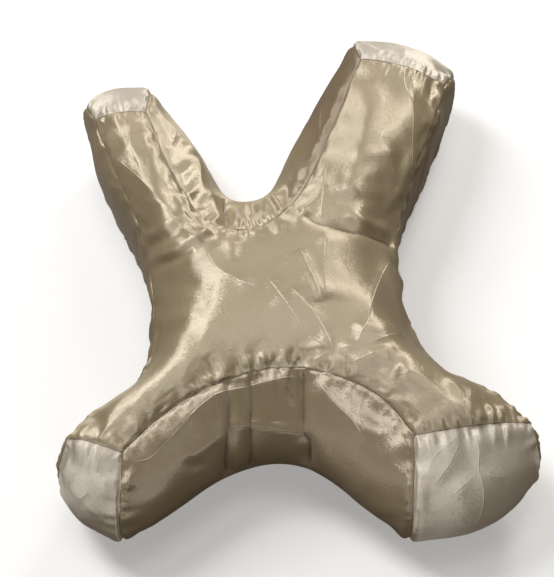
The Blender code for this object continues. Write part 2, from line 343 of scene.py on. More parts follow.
OUTER_WALL_FOLDS = (
    Fold(-1.6, 6, 6, SOFT, ((100, 4, 78), (101, 8, 55), (103, 6, 34))),
    Fold(1.4, 6, 6, SOFT, ((100, -14, 76), (100, -18, 50), (101, -14, 32))),
    Fold(-1.3, 6, 6, SOFT, ((103, -40, 74), (103, -36, 48))),
    Fold(1.2, 7, 7, SOFT, ((116, 66, 92), (112, 58, 60))),
    Fold(-1.2, 7, 7, SOFT, ((141, 108, 98), (133, 98, 66), (130, 92, 44))),
    Fold(1.2, 7, 7, SOFT, ((132, -102, 80), (126, -94, 52))),
    Fold(-1.5, 6, 6, SOFT, ((-105, -14, 78), (-106, -10, 52), (-106, -14, 36))),
    Fold(1.4, 6, 6, SOFT, ((-106, -36, 78), (-107, -40, 50))),
    Fold(-1.3, 6, 6, SOFT, ((-112, 46, 92), (-112, 40, 58))),
    Fold(1.2, 7, 7, SOFT, ((-131, 92, 100), (-126, 84, 66))),
    Fold(-1.2, 7, 7, SOFT, ((-148, -104, 84), (-140, -100, 54))),
)
FOLDS: tuple[Fold, ...] = (
    *LEFT_ARM_FOLDS, *RIGHT_ARM_FOLDS, *BODY_FOLDS, *FOOT_FOLDS,
    *ARCH_FOLDS, *NOTCH_FOLDS, *OUTER_WALL_FOLDS,
)

GATHERS: tuple[Gather, ...] = (
    Gather(-30, 22, 121, 26, 1.3),      # root of the notch
    Gather(-10, -106, 118, 30, 1.2),    # root of the arch
    Gather(155, -162, 106, 28, 1.3),    # right foot's end
    Gather(-120, 156, 108, 26, 0.8),    # left arm's end
    Gather(140, 176, 108, 34, 0.8),     # right arm's end
    Gather(60, 130, 117, 50, -0.3),     # right arm's inner seam
    Gather(-75, 100, 118, 50, -0.3),    # left arm's inner seam
    Gather(-137, -190, 90, 26, 0.9),    # left foot's upright seam
)


def local_gather(places: Floats) -> Floats:
    """Add up how much more, or less, each place on a seam puckers than most of the seam."""
    total = np.zeros(len(places))
    for gather in GATHERS:
        centre = np.array((gather.x, gather.y, gather.z)) * MM
        away = np.linalg.norm(places - centre, axis=1) / (gather.reach * MM)
        total += gather.strength * np.exp(-away ** 2)
    return total


class Cage:
    """The cover's panels as a coarse cage: a face with four limbs, the walls and the back."""

    ACROSS = 4                  # quads across a limb, and along each side of the body
    BODY_CROWN = 0.131          # height of the body's middle
    BACK_SEAM_HEIGHT = 0.019    # height of the seam round the back
    BACK_SAG = 0.007            # how far the back hangs down before the floor presses it flat
    BACK_SPREAD = 0.40          # where the back's seam lies, from the face's seam to the wall
    END_SPREAD = 0.70           # the same below the end panels
    FACE_FULLNESS = 2.6         # the crown's power: a higher one gives a flatter top
    END_DOME = 0.16             # bulge of an end panel, as a share of its width
    WALL_LOOPS = ((0.78, 0.95), (0.27, 1.04))   # shares of the height and of the way out
    SEAM_CREASE = 0.85          # how tightly the long seams are creased
    CORNER_CREASE = 0.45        # how tightly the upright seams are creased
    NOTCH_TURN = (1.15, 1.25)   # the stretch of rim where the notch's grain turns
    PLACE_DIGITS = 5            # decimals by which places are put in order

    def __init__(self) -> None:
        """Start an empty cage, with layers for panels, creases and the wall's places."""
        self.cage = bmesh.new()
        self.wall = self.cage.verts.layers.float_vector.new("wall")
        self.crease = self.cage.edges.layers.float.new("crease_edge")
        self.rim_panel = self.cage.edges.layers.int.new("rim_panel")
        self.panel = self.cage.faces.layers.int.new("panel")
        self.map = self.cage.loops.layers.uv.new(Cover.MAP)

    def places(self, section: Section) -> list[Vector]:
        """Places along one section of the face.

        Args:
            section: The section across a limb or along a side of the body.

        Returns:
            ACROSS + 1 places from its outer seam over the crown to its inner seam.
        """
        outer, inner, crown = section
        found = []
        for step in range(self.ACROSS + 1):
            share = step / self.ACROSS
            seam_height = outer.height * (1 - share) + inner.height * share
            rise = 1 - abs(2 * share - 1) ** self.FACE_FULLNESS
            found.append(Vector((
                outer.seam_x * (1 - share) + inner.seam_x * share,
                outer.seam_y * (1 - share) + inner.seam_y * share,
                seam_height + (crown - seam_height) * rise,
            )))
        return found

    def wall_places(self, section: Section) -> list[Vector]:
        """Fullest places of the wall beside a section, domed out at a limb's end.

        Args:
            section: The section whose wall is wanted.

        Returns:
            ACROSS + 1 places at height zero.
        """
        outer = Vector((section.outer.wall_x, section.outer.wall_y, 0.0))
        inner = Vector((section.inner.wall_x, section.inner.wall_y, 0.0))
        seam = Vector((section.inner.seam_x, section.inner.seam_y, 0.0))
        across = inner - outer
        away = Vector((-across.y, across.x, 0.0)).normalized()
        if away.dot(inner - seam) < 0:
            away.negate()
        found = []
        for step in range(self.ACROSS + 1):
            share = step / self.ACROSS
            dome = self.END_DOME * across.length * (1 - (2 * share - 1) ** 2)
            found.append(outer + across * share + away * dome)
        return found

    def extrude(self, edges: list[Edge]) -> tuple[dict[Vert, Vert], list[Face]]:
        """Extrude edges.

        Args:
            edges: Boundary edges.

        Returns:
            The new vertex that grew from each old one, and the new faces.
        """
        made = bmesh.ops.extrude_edge_only(self.cage, edges=edges)
        fresh = {item for item in made["geom"] if isinstance(item, Vert)}
        grown = {}
        for vert in fresh:
            near = (edge.other_vert(vert) for edge in vert.link_edges)
            grown[next(other for other in near if other not in fresh)] = vert
        return grown, [item for item in made["geom"] if isinstance(item, Face)]

    def lay_body(self) -> dict[tuple[int, int], Vert]:
        """Spread a grid between the four sections where the limbs begin.

        Returns:
            The grid's vertices by column and line.
        """
        across = self.ACROSS
        made = bmesh.ops.create_grid(
            self.cage, x_segments=across, y_segments=across, size=1.0
        )
        east = self.places(Section(RIGHT_WAIST, NOTCH, self.BODY_CROWN))
        south = self.places(Section(RIGHT_WAIST, ARCH, self.BODY_CROWN))
        west = self.places(Section(LEFT_WAIST, ARCH, self.BODY_CROWN))
        north = self.places(Section(LEFT_WAIST, NOTCH, self.BODY_CROWN))
        grid = {}
        for vert in made["verts"]:
            column = round((vert.co.x + 1) / 2 * across)
            line = round((vert.co.y + 1) / 2 * across)
            grid[column, line] = vert
            u, v = column / across, line / across
            sides = west[across - line] * (1 - u) + east[line] * u
            ends = south[across - column] * (1 - v) + north[column] * v
            low = west[across] * (1 - u) + east[0] * u
            high = west[0] * (1 - u) + east[across] * u
            vert.co = sides + ends - low * (1 - v) - high * v
            vert.co.z = min(vert.co.z, self.BODY_CROWN)
        corners = {
            (0, 0): ARCH, (0, across): LEFT_WAIST,
            (across, 0): RIGHT_WAIST, (across, across): NOTCH,
        }
        for spot, side in corners.items():
            grid[spot][self.wall] = Vector((side.wall_x, side.wall_y, 0.0))
        return grid

    def grow_limb(self, root: list[Vert], limb: Limb) -> None:
        """Extrude a limb of the face from its root, a row of quads for each section.

        Args:
            root: The body's vertices along the limb's root, outer seam first.
            limb: The limb's sections and the panels beside it.
        """
        row = root
        for section in limb.sections:
            edges = [self.cage.edges.get(pair) for pair in zip(row, row[1:])]
            grown, _ = self.extrude(edges)
            for vert, panel in ((row[0], limb.outer_wall), (row[-1], limb.inner_wall)):
                self.cage.edges.get((vert, grown[vert]))[self.rim_panel] = panel
            row = [grown[vert] for vert in row]
            walls = self.wall_places(section)
            for vert, place, wall in zip(row, self.places(section), walls):
                vert.co = place
                vert[self.wall] = wall
        for pair in zip(row, row[1:]):
            self.cage.edges.get(pair)[self.rim_panel] = limb.end

    def rim_arcs(self, seam: list[Edge]) -> dict[Edge, tuple[Vert, float, float]]:
        """Walk round the face's rim, from the left waist down past the left foot first.

        Args:
            seam: The rim's edges.

        Returns:
            For each edge, the vertex it starts at, and the arc lengths at its two ends.
        """
        left = set(seam)
        waist = Vector((LEFT_WAIST.seam_x, LEFT_WAIST.seam_y, LEFT_WAIST.height))
        rim = [vert for edge in seam for vert in edge.verts]
        vert = min(rim, key=lambda vert: (vert.co - waist).length)
        ways = [edge for edge in vert.link_edges if edge in left]
        edge = min(ways, key=lambda edge: edge.other_vert(vert).co.y)
        arcs = {}
        arc = 0.0
        while left:
            left.discard(edge)
            arcs[edge] = (vert, arc, arc + edge.calc_length())
            arc += edge.calc_length()
            vert = edge.other_vert(vert)
            edge = next((near for near in vert.link_edges if near in left), edge)
        return arcs

    def sew_wall_and_back(self) -> None:
        """Copy the face to a flat back, and hang the swelling wall between the two."""
        cage = self.cage
        seam = [edge for edge in cage.edges if edge.is_boundary]
        arcs = self.rim_arcs(seam)
        rim = {vert: vert.co.copy() for edge in seam for vert in edge.verts}
        for face in cage.faces:
            for loop in face.loops:
                loop[self.map].uv = loop.vert.co.yx
        twins, back_seam = self.copy_to_back(seam, rim)
        above = {vert: vert for vert in rim} | {twins[vert]: vert for vert in rim}
        hem = {vert: vert for vert in rim}
        edges = seam
        for height_share, reach in self.WALL_LOOPS:
            grown, faces = self.extrude(edges)
            above |= {grown[low]: top for top, low in hem.items()}
            hem = {top: grown[low] for top, low in hem.items()}
            for top, low in hem.items():
                low.co = self.wall_place(top, rim[top], height_share, reach)
            self.map_wall(faces, above, arcs)
            edges = [cage.edges.get([hem[vert] for vert in edge.verts]) for edge in seam]
        bridged = bmesh.ops.bridge_loops(cage, edges=edges + back_seam)
        self.map_wall(bridged["faces"], above, arcs)
        for edge in seam + back_seam:
            edge[self.crease] = self.SEAM_CREASE
        bmesh.ops.recalc_face_normals(cage, faces=cage.faces[:])

    def copy_to_back(
        self, seam: list[Edge], rim: dict[Vert, Vector]
    ) -> tuple[dict[Vert, Vert], list[Edge]]:
        """Copy the face to the back, and lay it flat with its rim drawn in.

        Args:
            seam: The edges of the face's rim.
            rim: Where the rim's vertices lie.

        Returns:
            The back's vertex for each vertex of the face, and the edges of the back's rim.
        """
        cage = self.cage
        ends = {vert for edge in seam if edge[self.rim_panel] in END_PANELS for vert in edge.verts}
        copied = bmesh.ops.duplicate(cage, geom=cage.verts[:] + cage.edges[:] + cage.faces[:])
        twins = copied["vert_map"]
        for twin in copied["geom"]:
            if isinstance(twin, Face):
                twin[self.panel] = Panel.BACK
        for vert in [item for item in copied["geom_orig"] if isinstance(item, Vert)]:
            twins[vert].co.z = -self.BACK_SAG
            if vert in rim:
                spread = self.END_SPREAD if vert in ends else self.BACK_SPREAD
                twins[vert].co = self.wall_place(vert, rim[vert], 0.0, spread)
        return twins, [copied["edge_map"][edge] for edge in seam]

    def wall_place(self, vert: Vert, seam: Vector, height_share: float, reach: float) -> Vector:
        """Find a place on the wall under a seam vertex.

        Args:
            vert: The seam's vertex, which holds the wall's fullest place.
            seam: Where that vertex lies.
            height_share: Share of the seam's height over the back seam.
            reach: Share of the way from the seam to the wall's fullest place.

        Returns:
            The place.
        """
        place = seam.lerp(vert[self.wall], reach)
        place.z = self.BACK_SEAM_HEIGHT + (seam.z - self.BACK_SEAM_HEIGHT) * height_share
        return place

    def map_wall(
        self,
        faces: list[Face],
        above: dict[Vert, Vert],
        arcs: dict[Edge, tuple[Vert, float, float]],
    ) -> None:
        """Give a strip of wall its panels, and map it by arc length and height.

        Args:
            faces: The strip's quads.
            above: For each vertex of the wall, the rim's vertex over it.
            arcs: What rim_arcs gave.
        """
        for face in faces:
            tops = {above[vert] for vert in face.verts}
            rim_edge = self.cage.edges.get(tuple(tops))
            start, first, last = arcs[rim_edge]
            face[self.panel] = rim_edge[self.rim_panel]
            for loop in face.loops:
                along = first if above[loop.vert] == start else last
                loop[self.map].uv = self.map_place(face[self.panel], along, loop.vert.co.z)

    def map_place(self, panel: int, along: float, height: float) -> tuple[float, float]:
        """Map a place on the wall: its floats lie across the strip, but along the end panels.

        Args:
            panel: Its panel. The notch's strip turns from the one to the other.
            along: Arc length along the rim.
            height: Height over the floor.

        Returns:
            The place on the map.
        """
        if panel in END_PANELS:
            return height, along
        if panel != Panel.NOTCH_WALL:
            return along, height
        start, end = self.NOTCH_TURN
        turn = min(max((along - start) / (end - start), 0.0), 1.0) * math.pi / 2
        bent = (end - start) * 2 / math.pi
        across = min(along - start, 0.0) + bent * math.sin(turn)
        down = -bent * (1 - math.cos(turn)) - max(along - end, 0.0)
        return across + height * math.sin(turn), down + height * math.cos(turn)

    def crease_uprights(self) -> None:
        """Crease the upright seams, where two panels of the wall meet."""
        for edge in self.cage.edges:
            panels = {face[self.panel] for face in edge.link_faces}
            if len(panels) == 2 and edge[self.crease] == 0.0:
                edge[self.crease] = self.CORNER_CREASE

    def build(self) -> bpy.types.Mesh:
        """Build the whole cage, centred in plan on the frame's origin.

        Returns:
            The cage as a mesh.
        """
        grid = self.lay_body()
        across = self.ACROSS
        span = range(across + 1)
        self.grow_limb([grid[step, across] for step in span], LEFT_ARM)
        self.grow_limb([grid[across, step] for step in span], RIGHT_ARM)
        self.grow_limb([grid[0, across - step] for step in span], LEFT_FOOT)
        self.grow_limb([grid[across - step, 0] for step in span], RIGHT_FOOT)
        self.sew_wall_and_back()
        self.crease_uprights()
        mesh = self.ordered_mesh()
        self.cage.free()
        return mesh

    def ordered_mesh(self) -> bpy.types.Mesh:
        """Write the cage as a mesh in an order of its own, so that every run fills the same cover.

        The operators number new edges and faces by where they lie in memory.

        Returns:
            The mesh, its vertices sorted by place, and each face begun at its lowest vertex.
        """
        verts = sorted(
            self.cage.verts,
            key=lambda vert: tuple(round(axis, self.PLACE_DIGITS) for axis in vert.co),
        )
        for index, vert in enumerate(verts):
            vert.index = index
        rings = []
        for face in self.cage.faces:
            loops = list(face.loops)
            first = min(range(len(loops)), key=lambda spot: loops[spot].vert.index)
            rings.append(loops[first:] + loops[:first])
        rings.sort(key=lambda loops: [loop.vert.index for loop in loops])
        mesh = bpy.data.meshes.new("satin_cover")
        corners = [[loop.vert.index for loop in loops] for loops in rings]
        mesh.from_pydata([vert.co[:] for vert in verts], [], corners)
        panel = mesh.attributes.new("panel", "INT", "FACE")
        panel.data.foreach_set("value", [loops[0].face[self.panel] for loops in rings])
        cloth_map = mesh.uv_layers.new(name=Cover.MAP)
        for spot, loop in enumerate(loop for loops in rings for loop in loops):
            cloth_map.uv[spot].vector = loop[self.map].uv
        creases = {
            frozenset(vert.index for vert in edge.verts): edge[self.crease] for edge in self.cage.edges
        }
        crease = mesh.attributes.new("crease_edge", "FLOAT", "EDGE")
        crease.data.foreach_set("value", [creases[frozenset(edge.vertices)] for edge in mesh.edges])
        return mesh


class Skin:
    """A mesh's vertices as arrays, with what shaping them needs."""

    NEAREST = 3             # how many pieces of seam are tried for the nearest place

    def __init__(self, mesh: bpy.types.Mesh) -> None:
        """Read the places, edges and panels of a mesh."""
        self.mesh = mesh
        self.places = self.read(mesh.vertices, "co", 3)
        self.edges = self.read(mesh.edges, "vertices", 2, np.int32)
        self.count = len(mesh.vertices)
        self.degree = np.bincount(self.edges.ravel(), minlength=self.count)[:, None]

    @staticmethod
    def read(items: Any, name: str, width: int, kind: type = np.float32) -> Floats:
        """Read one property of a collection into an array with that many columns."""
        values = np.zeros(len(items) * width, kind)
        items.foreach_get(name, values)
        return values.reshape(-1, width) if width > 1 else values

    def write(self) -> None:
        """Write the places back to the mesh."""
        self.mesh.vertices.foreach_set("co", self.places.astype(np.float32).ravel())
        self.mesh.update()

    def rest_on_floor(self) -> None:
        """Press what sags below the floor flat, and write the places back."""
        self.places[:, 2] = self.places[:, 2].clip(0.0)
        self.write()

    def normals(self) -> Floats:
        """Write the places back, and read the normals that they give."""
        self.write()
        return self.read(self.mesh.vertices, "normal", 3)

    def relax(self, values: Floats, rounds: int) -> Floats:
        """Smooth values over the mesh.

        Args:
            values: A row for each vertex.
            rounds: How many times each becomes half itself, half its neighbours' mean.

        Returns:
            The smoothed values.
        """
        first, second = self.edges.T
        for _ in range(rounds):
            sums = np.empty_like(values)
            for column in range(values.shape[1]):
                there = values[:, column]
                sums[:, column] = (
                    np.bincount(first, there[second], self.count)
                    + np.bincount(second, there[first], self.count)
                )
            values = 0.5 * values + 0.5 * sums / self.degree
        return values

    @cached_property
    def panels(self) -> tuple[Floats, Floats]:
        """Find which panels each vertex belongs to.

        Returns:
            The lowest and the highest panel at each vertex, which differ on a seam.
        """
        return self.spread_panels("vertex_index", self.count)

    def spread_panels(self, corner: str, count: int) -> tuple[Floats, Floats]:
        """Spread the faces' panels to their vertices or edges.

        Args:
            corner: The loop's property that gives the vertex or the edge.
            count: How many vertices or edges there are.

        Returns:
            The lowest and the highest panel at each.
        """
        mesh = self.mesh
        panel = self.read(mesh.attributes["panel"].data, "value", 1, np.int32)
        totals = self.read(mesh.polygons, "loop_total", 1, np.int32)
        where = self.read(mesh.loops, corner, 1, np.int32)
        low = np.full(count, len(Panel))
        high = np.full(count, -1)
        np.minimum.at(low, where, np.repeat(panel, totals))
        np.maximum.at(high, where, np.repeat(panel, totals))
        return low, high

    def seam_edges(self) -> Floats:
        """Find the edges where two panels meet.

        Returns:
            Their vertices, a row for each edge.
        """
        low, high = self.spread_panels("edge_index", len(self.mesh.edges))
        return self.edges[low != high]

    def surface(self) -> BVHTree:
        """Make a search tree of the surface."""
        faces = [tuple(face.vertices) for face in self.mesh.polygons]
        return BVHTree.FromPolygons(self.places.tolist(), faces)

    def seam_gaps(self) -> tuple[Floats, Floats]:
        """Measure how far each vertex is from the nearest seam.

        Returns:
            The distances, and the nearest places on a seam.
        """
        ends = self.places[self.seam_edges()]
        middles = ends.mean(axis=1)
        tree = KDTree(len(middles))
        for index, middle in enumerate(middles):
            tree.insert(middle, index)
        tree.balance()
        gaps = np.full(self.count, np.inf)
        nearest = np.zeros((self.count, 3))
        found = np.array([
            [index for _, index, _ in tree.find_n(place, self.NEAREST)] for place in self.places
        ])
        for column in found.T:
            start, end = ends[column, 0], ends[column, 1]
            step = end - start
            share = ((self.places - start) * step).sum(1) / (step ** 2).sum(1).clip(1e-12)
            spot = start + share.clip(0, 1)[:, None] * step
            gap = np.linalg.norm(self.places - spot, axis=1)
            closer = gap < gaps
            gaps[closer] = gap[closer]
            nearest[closer] = spot[closer]
        return gaps, nearest


class CreaseLines:
    """The fine pressed lines along sharp folds, kept as attributes for the finish.

    Lines that come near each other go into different groups, because a group holds one
    signed distance, in millimetres, and one strength for each vertex.
    """

    GROUPS = 4
    REACH = 6.0             # how far from a line its distance is kept
    MARGIN = 1.0            # how far inside that reach its strength has fallen to nothing
    FULL = 2.5              # over how far the strength rises from there
    NARROW = 1.7            # depth of a hollow past which its line, with its painted shade, is drawn broader
    MARKS = (0.2, 1.2)      # the faintest and the strongest mark

    def __init__(self, count: int) -> None:
        """Start with no line near any vertex."""
        self.values = np.zeros((self.GROUPS, count, 3), np.float32)
        self.values[:, :, 0] = self.REACH

    @staticmethod
    def name(group: int) -> str:
        """Name a group's attribute."""
        return f"crease_line_{group + 1}"

    def add(self, near: Floats, gaps: Floats, strength: Floats) -> None:
        """Add one line to the first group that is free round it.

        Args:
            near: The vertices beside it.
            gaps: Their distances from it, negative on its left.
            strength: How marked the line is beside each, below 0 for a hollow.
        """
        close = np.abs(gaps) < self.REACH
        near, gaps, strength = near[close], gaps[close], strength[close]
        fade = ((self.REACH - self.MARGIN - np.abs(gaps)) / self.FULL).clip(0, 1)
        for group in self.values:
            if not group[near, 1].any():
                group[near, 0] = gaps
                group[near, 1] = strength * fade
                return
        LOG.warning("a crease line found no free group")

    def write(self, mesh: bpy.types.Mesh) -> None:
        """Write the groups to the mesh."""
        for group, values in enumerate(self.values):
            layer = mesh.attributes.new(self.name(group), "FLOAT_VECTOR", "POINT")
            layer.data.foreach_set("vector", values.ravel())


def wave(place: Sequence[float], scale: float, seed: float = 0.0) -> float:
    """Smooth noise from -1 to 1 at a place, with bumps about a scale in metres across."""
    return noise.noise(Vector(place) / scale + Vector((seed, 1.7 * seed, 0.0)))

@dataclass(frozen=True)
class Filling:
    """How the filled cover is simulated.

    Attributes:
        frames: Steps of the simulation.
        pressure: Force of the filling.
        ease: Extra cloth sewn into the seams, as a share of its length.
        ease_reach: How far from a seam the extra cloth runs out.
        swell_rounds: Rounds of smoothing that part the broad swelling from the wrinkles.
        swell: Share of the broad swelling that is kept.
        gather: Gain on the wrinkles beside the seams.
        gather_reach: How far from a seam the wrinkles fade.
        calm: Share of them that is left in the middle of a panel.
        notch_calm: Share of them that is left on the smoother wall of the notch.
        local_loss: How strongly they shrink where a seam puckers less than most.
        least: The smallest share that is left there.
        most: The furthest that a point may move.
    """

    frames: int = 20
    pressure: float = 3.0
    ease: float = 0.055
    ease_reach: float = 0.012
    swell_rounds: int = 40
    swell: float = 0.25
    gather: float = 1.1
    gather_reach: float = 0.020
    calm: float = 0.3
    notch_calm: float = 0.45
    local_loss: float = 2.0
    least: float = 0.3
    most: float = 0.005


# How the satin behaves as cloth, in the simulation's own names and units.
CLOTH_SETTINGS: dict[str, float] = {
    "quality": 5,
    "mass": 0.15,
    "tension_stiffness": 20.0,
    "compression_stiffness": 20.0,
    "shear_stiffness": 5.0,
    "bending_stiffness": 0.05,
    "tension_damping": 5.0,
    "compression_damping": 5.0,
    "air_damping": 2.0,
}


class Beside(NamedTuple):
    """How vertices lie beside a fold's path.

    Attributes:
        distance: How far from it each lies.
        to_end: How far its nearest place on the path is from the path's nearer end.
        right: Whether it lies on the path's right.
        length: The path's whole length.
    """

    distance: Floats
    to_end: Floats
    right: Floats
    length: float


@dataclass
class FoldPress:
    """Presses the listed folds into the cover's fine skin, one after another.

    Attributes:
        skin: The fine skin, which is changed.
        gain: Height of every fold over its value in the tables.
        edge_radius: Rounding of a sharp fold's edge.
        end_taper: Length over which a fold runs out at its ends.
        flanks: How many flanks away a fold has died out.
        wander: How unevenly a fold's height runs.
        wander_pitch: About how far apart its high places are.
        seam_share: Share of its height that a fold keeps on its panel's seams.
        path_step: Length of the steps in which its path is laid.
    """

    skin: Skin
    gain: float = 1.25
    edge_radius: float = 0.0011
    end_taper: float = 0.011
    flanks: float = 3.0
    wander: float = 0.5
    wander_pitch: float = 0.02
    seam_share: float = 0.4
    path_step: float = 0.003

    def __post_init__(self) -> None:
        """Read the skin's normals and surface as they are before the first fold."""
        self.normals = self.skin.normals()
        self.tree = self.skin.surface()
        self.lines = CreaseLines(self.skin.count)

    def press(self, fold: Fold) -> None:
        """Press one fold into its panel.

        Args:
            fold: The fold, whose line is kept too where it is sharp.
        """
        skin = self.skin
        path = self.laid_path(fold)
        # A deep hollow's line, and the painted shade along it, is drawn broader.
        broad = max(1.0, -fold.height / CreaseLines.NARROW)
        wide = max(self.flanks * max(fold.left, fold.right), broad * CreaseLines.REACH) * MM
        box_low, box_high = path.min(0) - wide, path.max(0) + wide
        near = np.flatnonzero(((skin.places > box_low) & (skin.places < box_high)).all(1))
        beside = self.measure(near, path)
        flank = np.where(beside.right, fold.right, fold.left) * MM
        to_end = beside.to_end / min(self.end_taper, 0.5 * beside.length)
        taper = (to_end * (2 - to_end.clip(0, 1))).clip(0, 1) * self.on_panel(near, path)
        uneven = np.array([
            1 + self.wander * wave(skin.places[index], self.wander_pitch, fold.left) for index in near
        ])
        profile = self.profile(fold.bend, beside.distance, flank)
        push = self.gain * fold.height * MM * profile * taper * uneven
        skin.places[near] += self.normals[near] * push[:, None]
        if fold.bend is SHARP:
            gaps = np.where(beside.right, beside.distance, -beside.distance) / (broad * MM)
            mark = math.copysign(1.0, fold.height) * taper * uneven.clip(*CreaseLines.MARKS)
            self.lines.add(near, gaps, mark)

    def measure(self, near: Floats, path: Floats) -> Beside:
        """Measure how vertices lie beside a path.

        Args:
            near: The vertices.
            path: The path's points.

        Returns:
            The measures, a value for each vertex.
        """
        steps = np.diff(path, axis=0)
        offsets = self.skin.places[near][:, None] - path[:-1][None]
        share = ((offsets * steps).sum(2) / (steps ** 2).sum(1)).clip(0, 1)
        gaps = offsets - share[..., None] * steps
        distance = np.linalg.norm(gaps, axis=2)
        closest = distance.argmin(1)
        rows = np.arange(len(near))
        lengths = np.linalg.norm(steps, axis=1)
        begun = np.concatenate([[0.0], np.cumsum(lengths)])
        along = begun[closest] + share[rows, closest] * lengths[closest]
        side = np.cross(steps[closest], self.normals[near])
        right = (side * gaps[rows, closest]).sum(1) > 0
        to_end = np.minimum(along, begun[-1] - along)
        return Beside(distance[rows, closest], to_end, right, begun[-1])

    def profile(self, bend: Bend, distance: Floats, flank: Floats) -> Floats:
        """Shape a fold across its path.

        Args:
            bend: How the cloth bends.
            distance: How far from the path.
            flank: How far the flank reaches there.

        Returns:
            The share of the fold's height at each distance.
        """
        if bend is SHARP:
            rounded = np.sqrt(distance ** 2 + self.edge_radius ** 2) - self.edge_radius
            return np.exp(-rounded / flank)
        return np.exp(-(distance / flank) ** 2)

    def on_panel(self, near: Floats, path: Floats) -> Floats:
        """Find which vertices lie on the panel that a fold runs across.

        Args:
            near: The vertices.
            path: The fold's path.

        Returns:
            1 inside the panel, seam_share on its seams and 0 outside it.
        """
        low, high = self.skin.panels
        face = self.tree.find_nearest(Vector(path[len(path) // 2]))[2]
        panel = self.skin.mesh.attributes["panel"].data[face].value
        inside = (low[near] == panel) | (high[near] == panel)
        seam = low[near] != high[near]
        return np.where(inside, np.where(seam, self.seam_share, 1.0), 0.0)

    def laid_path(self, fold: Fold) -> Floats:
        """Lay a fold's path on the surface, as a smooth line of short steps.

        Args:
            fold: The fold.

        Returns:
            The path's points.
        """
        places = []
        for point in fold.path:
            place = Vector(point) * MM
            if len(point) == 2:
                place = self.tree.ray_cast(Vector((place.x, place.y, 1.0)), Vector((0, 0, -1)))[0]
            places.append(place)
        ends = [2 * places[0] - places[1], *places, 2 * places[-1] - places[-2]]
        line = []
        for before, start, end, after in zip(ends, ends[1:], ends[2:], ends[3:]):
            count = max(2, round((end - start).length / self.path_step))
            for step in range(count):
                t = step / count
                curve = (
                    start * 2 + (end - before) * t
                    + (before * 2 - start * 5 + end * 4 - after) * t * t
                    + (start * 3 - before - end * 3 + after) * t ** 3
                ) / 2
                line.append(self.tree.find_nearest(curve)[0])
        line.append(self.tree.find_nearest(places[-1])[0])
        return np.array(line)


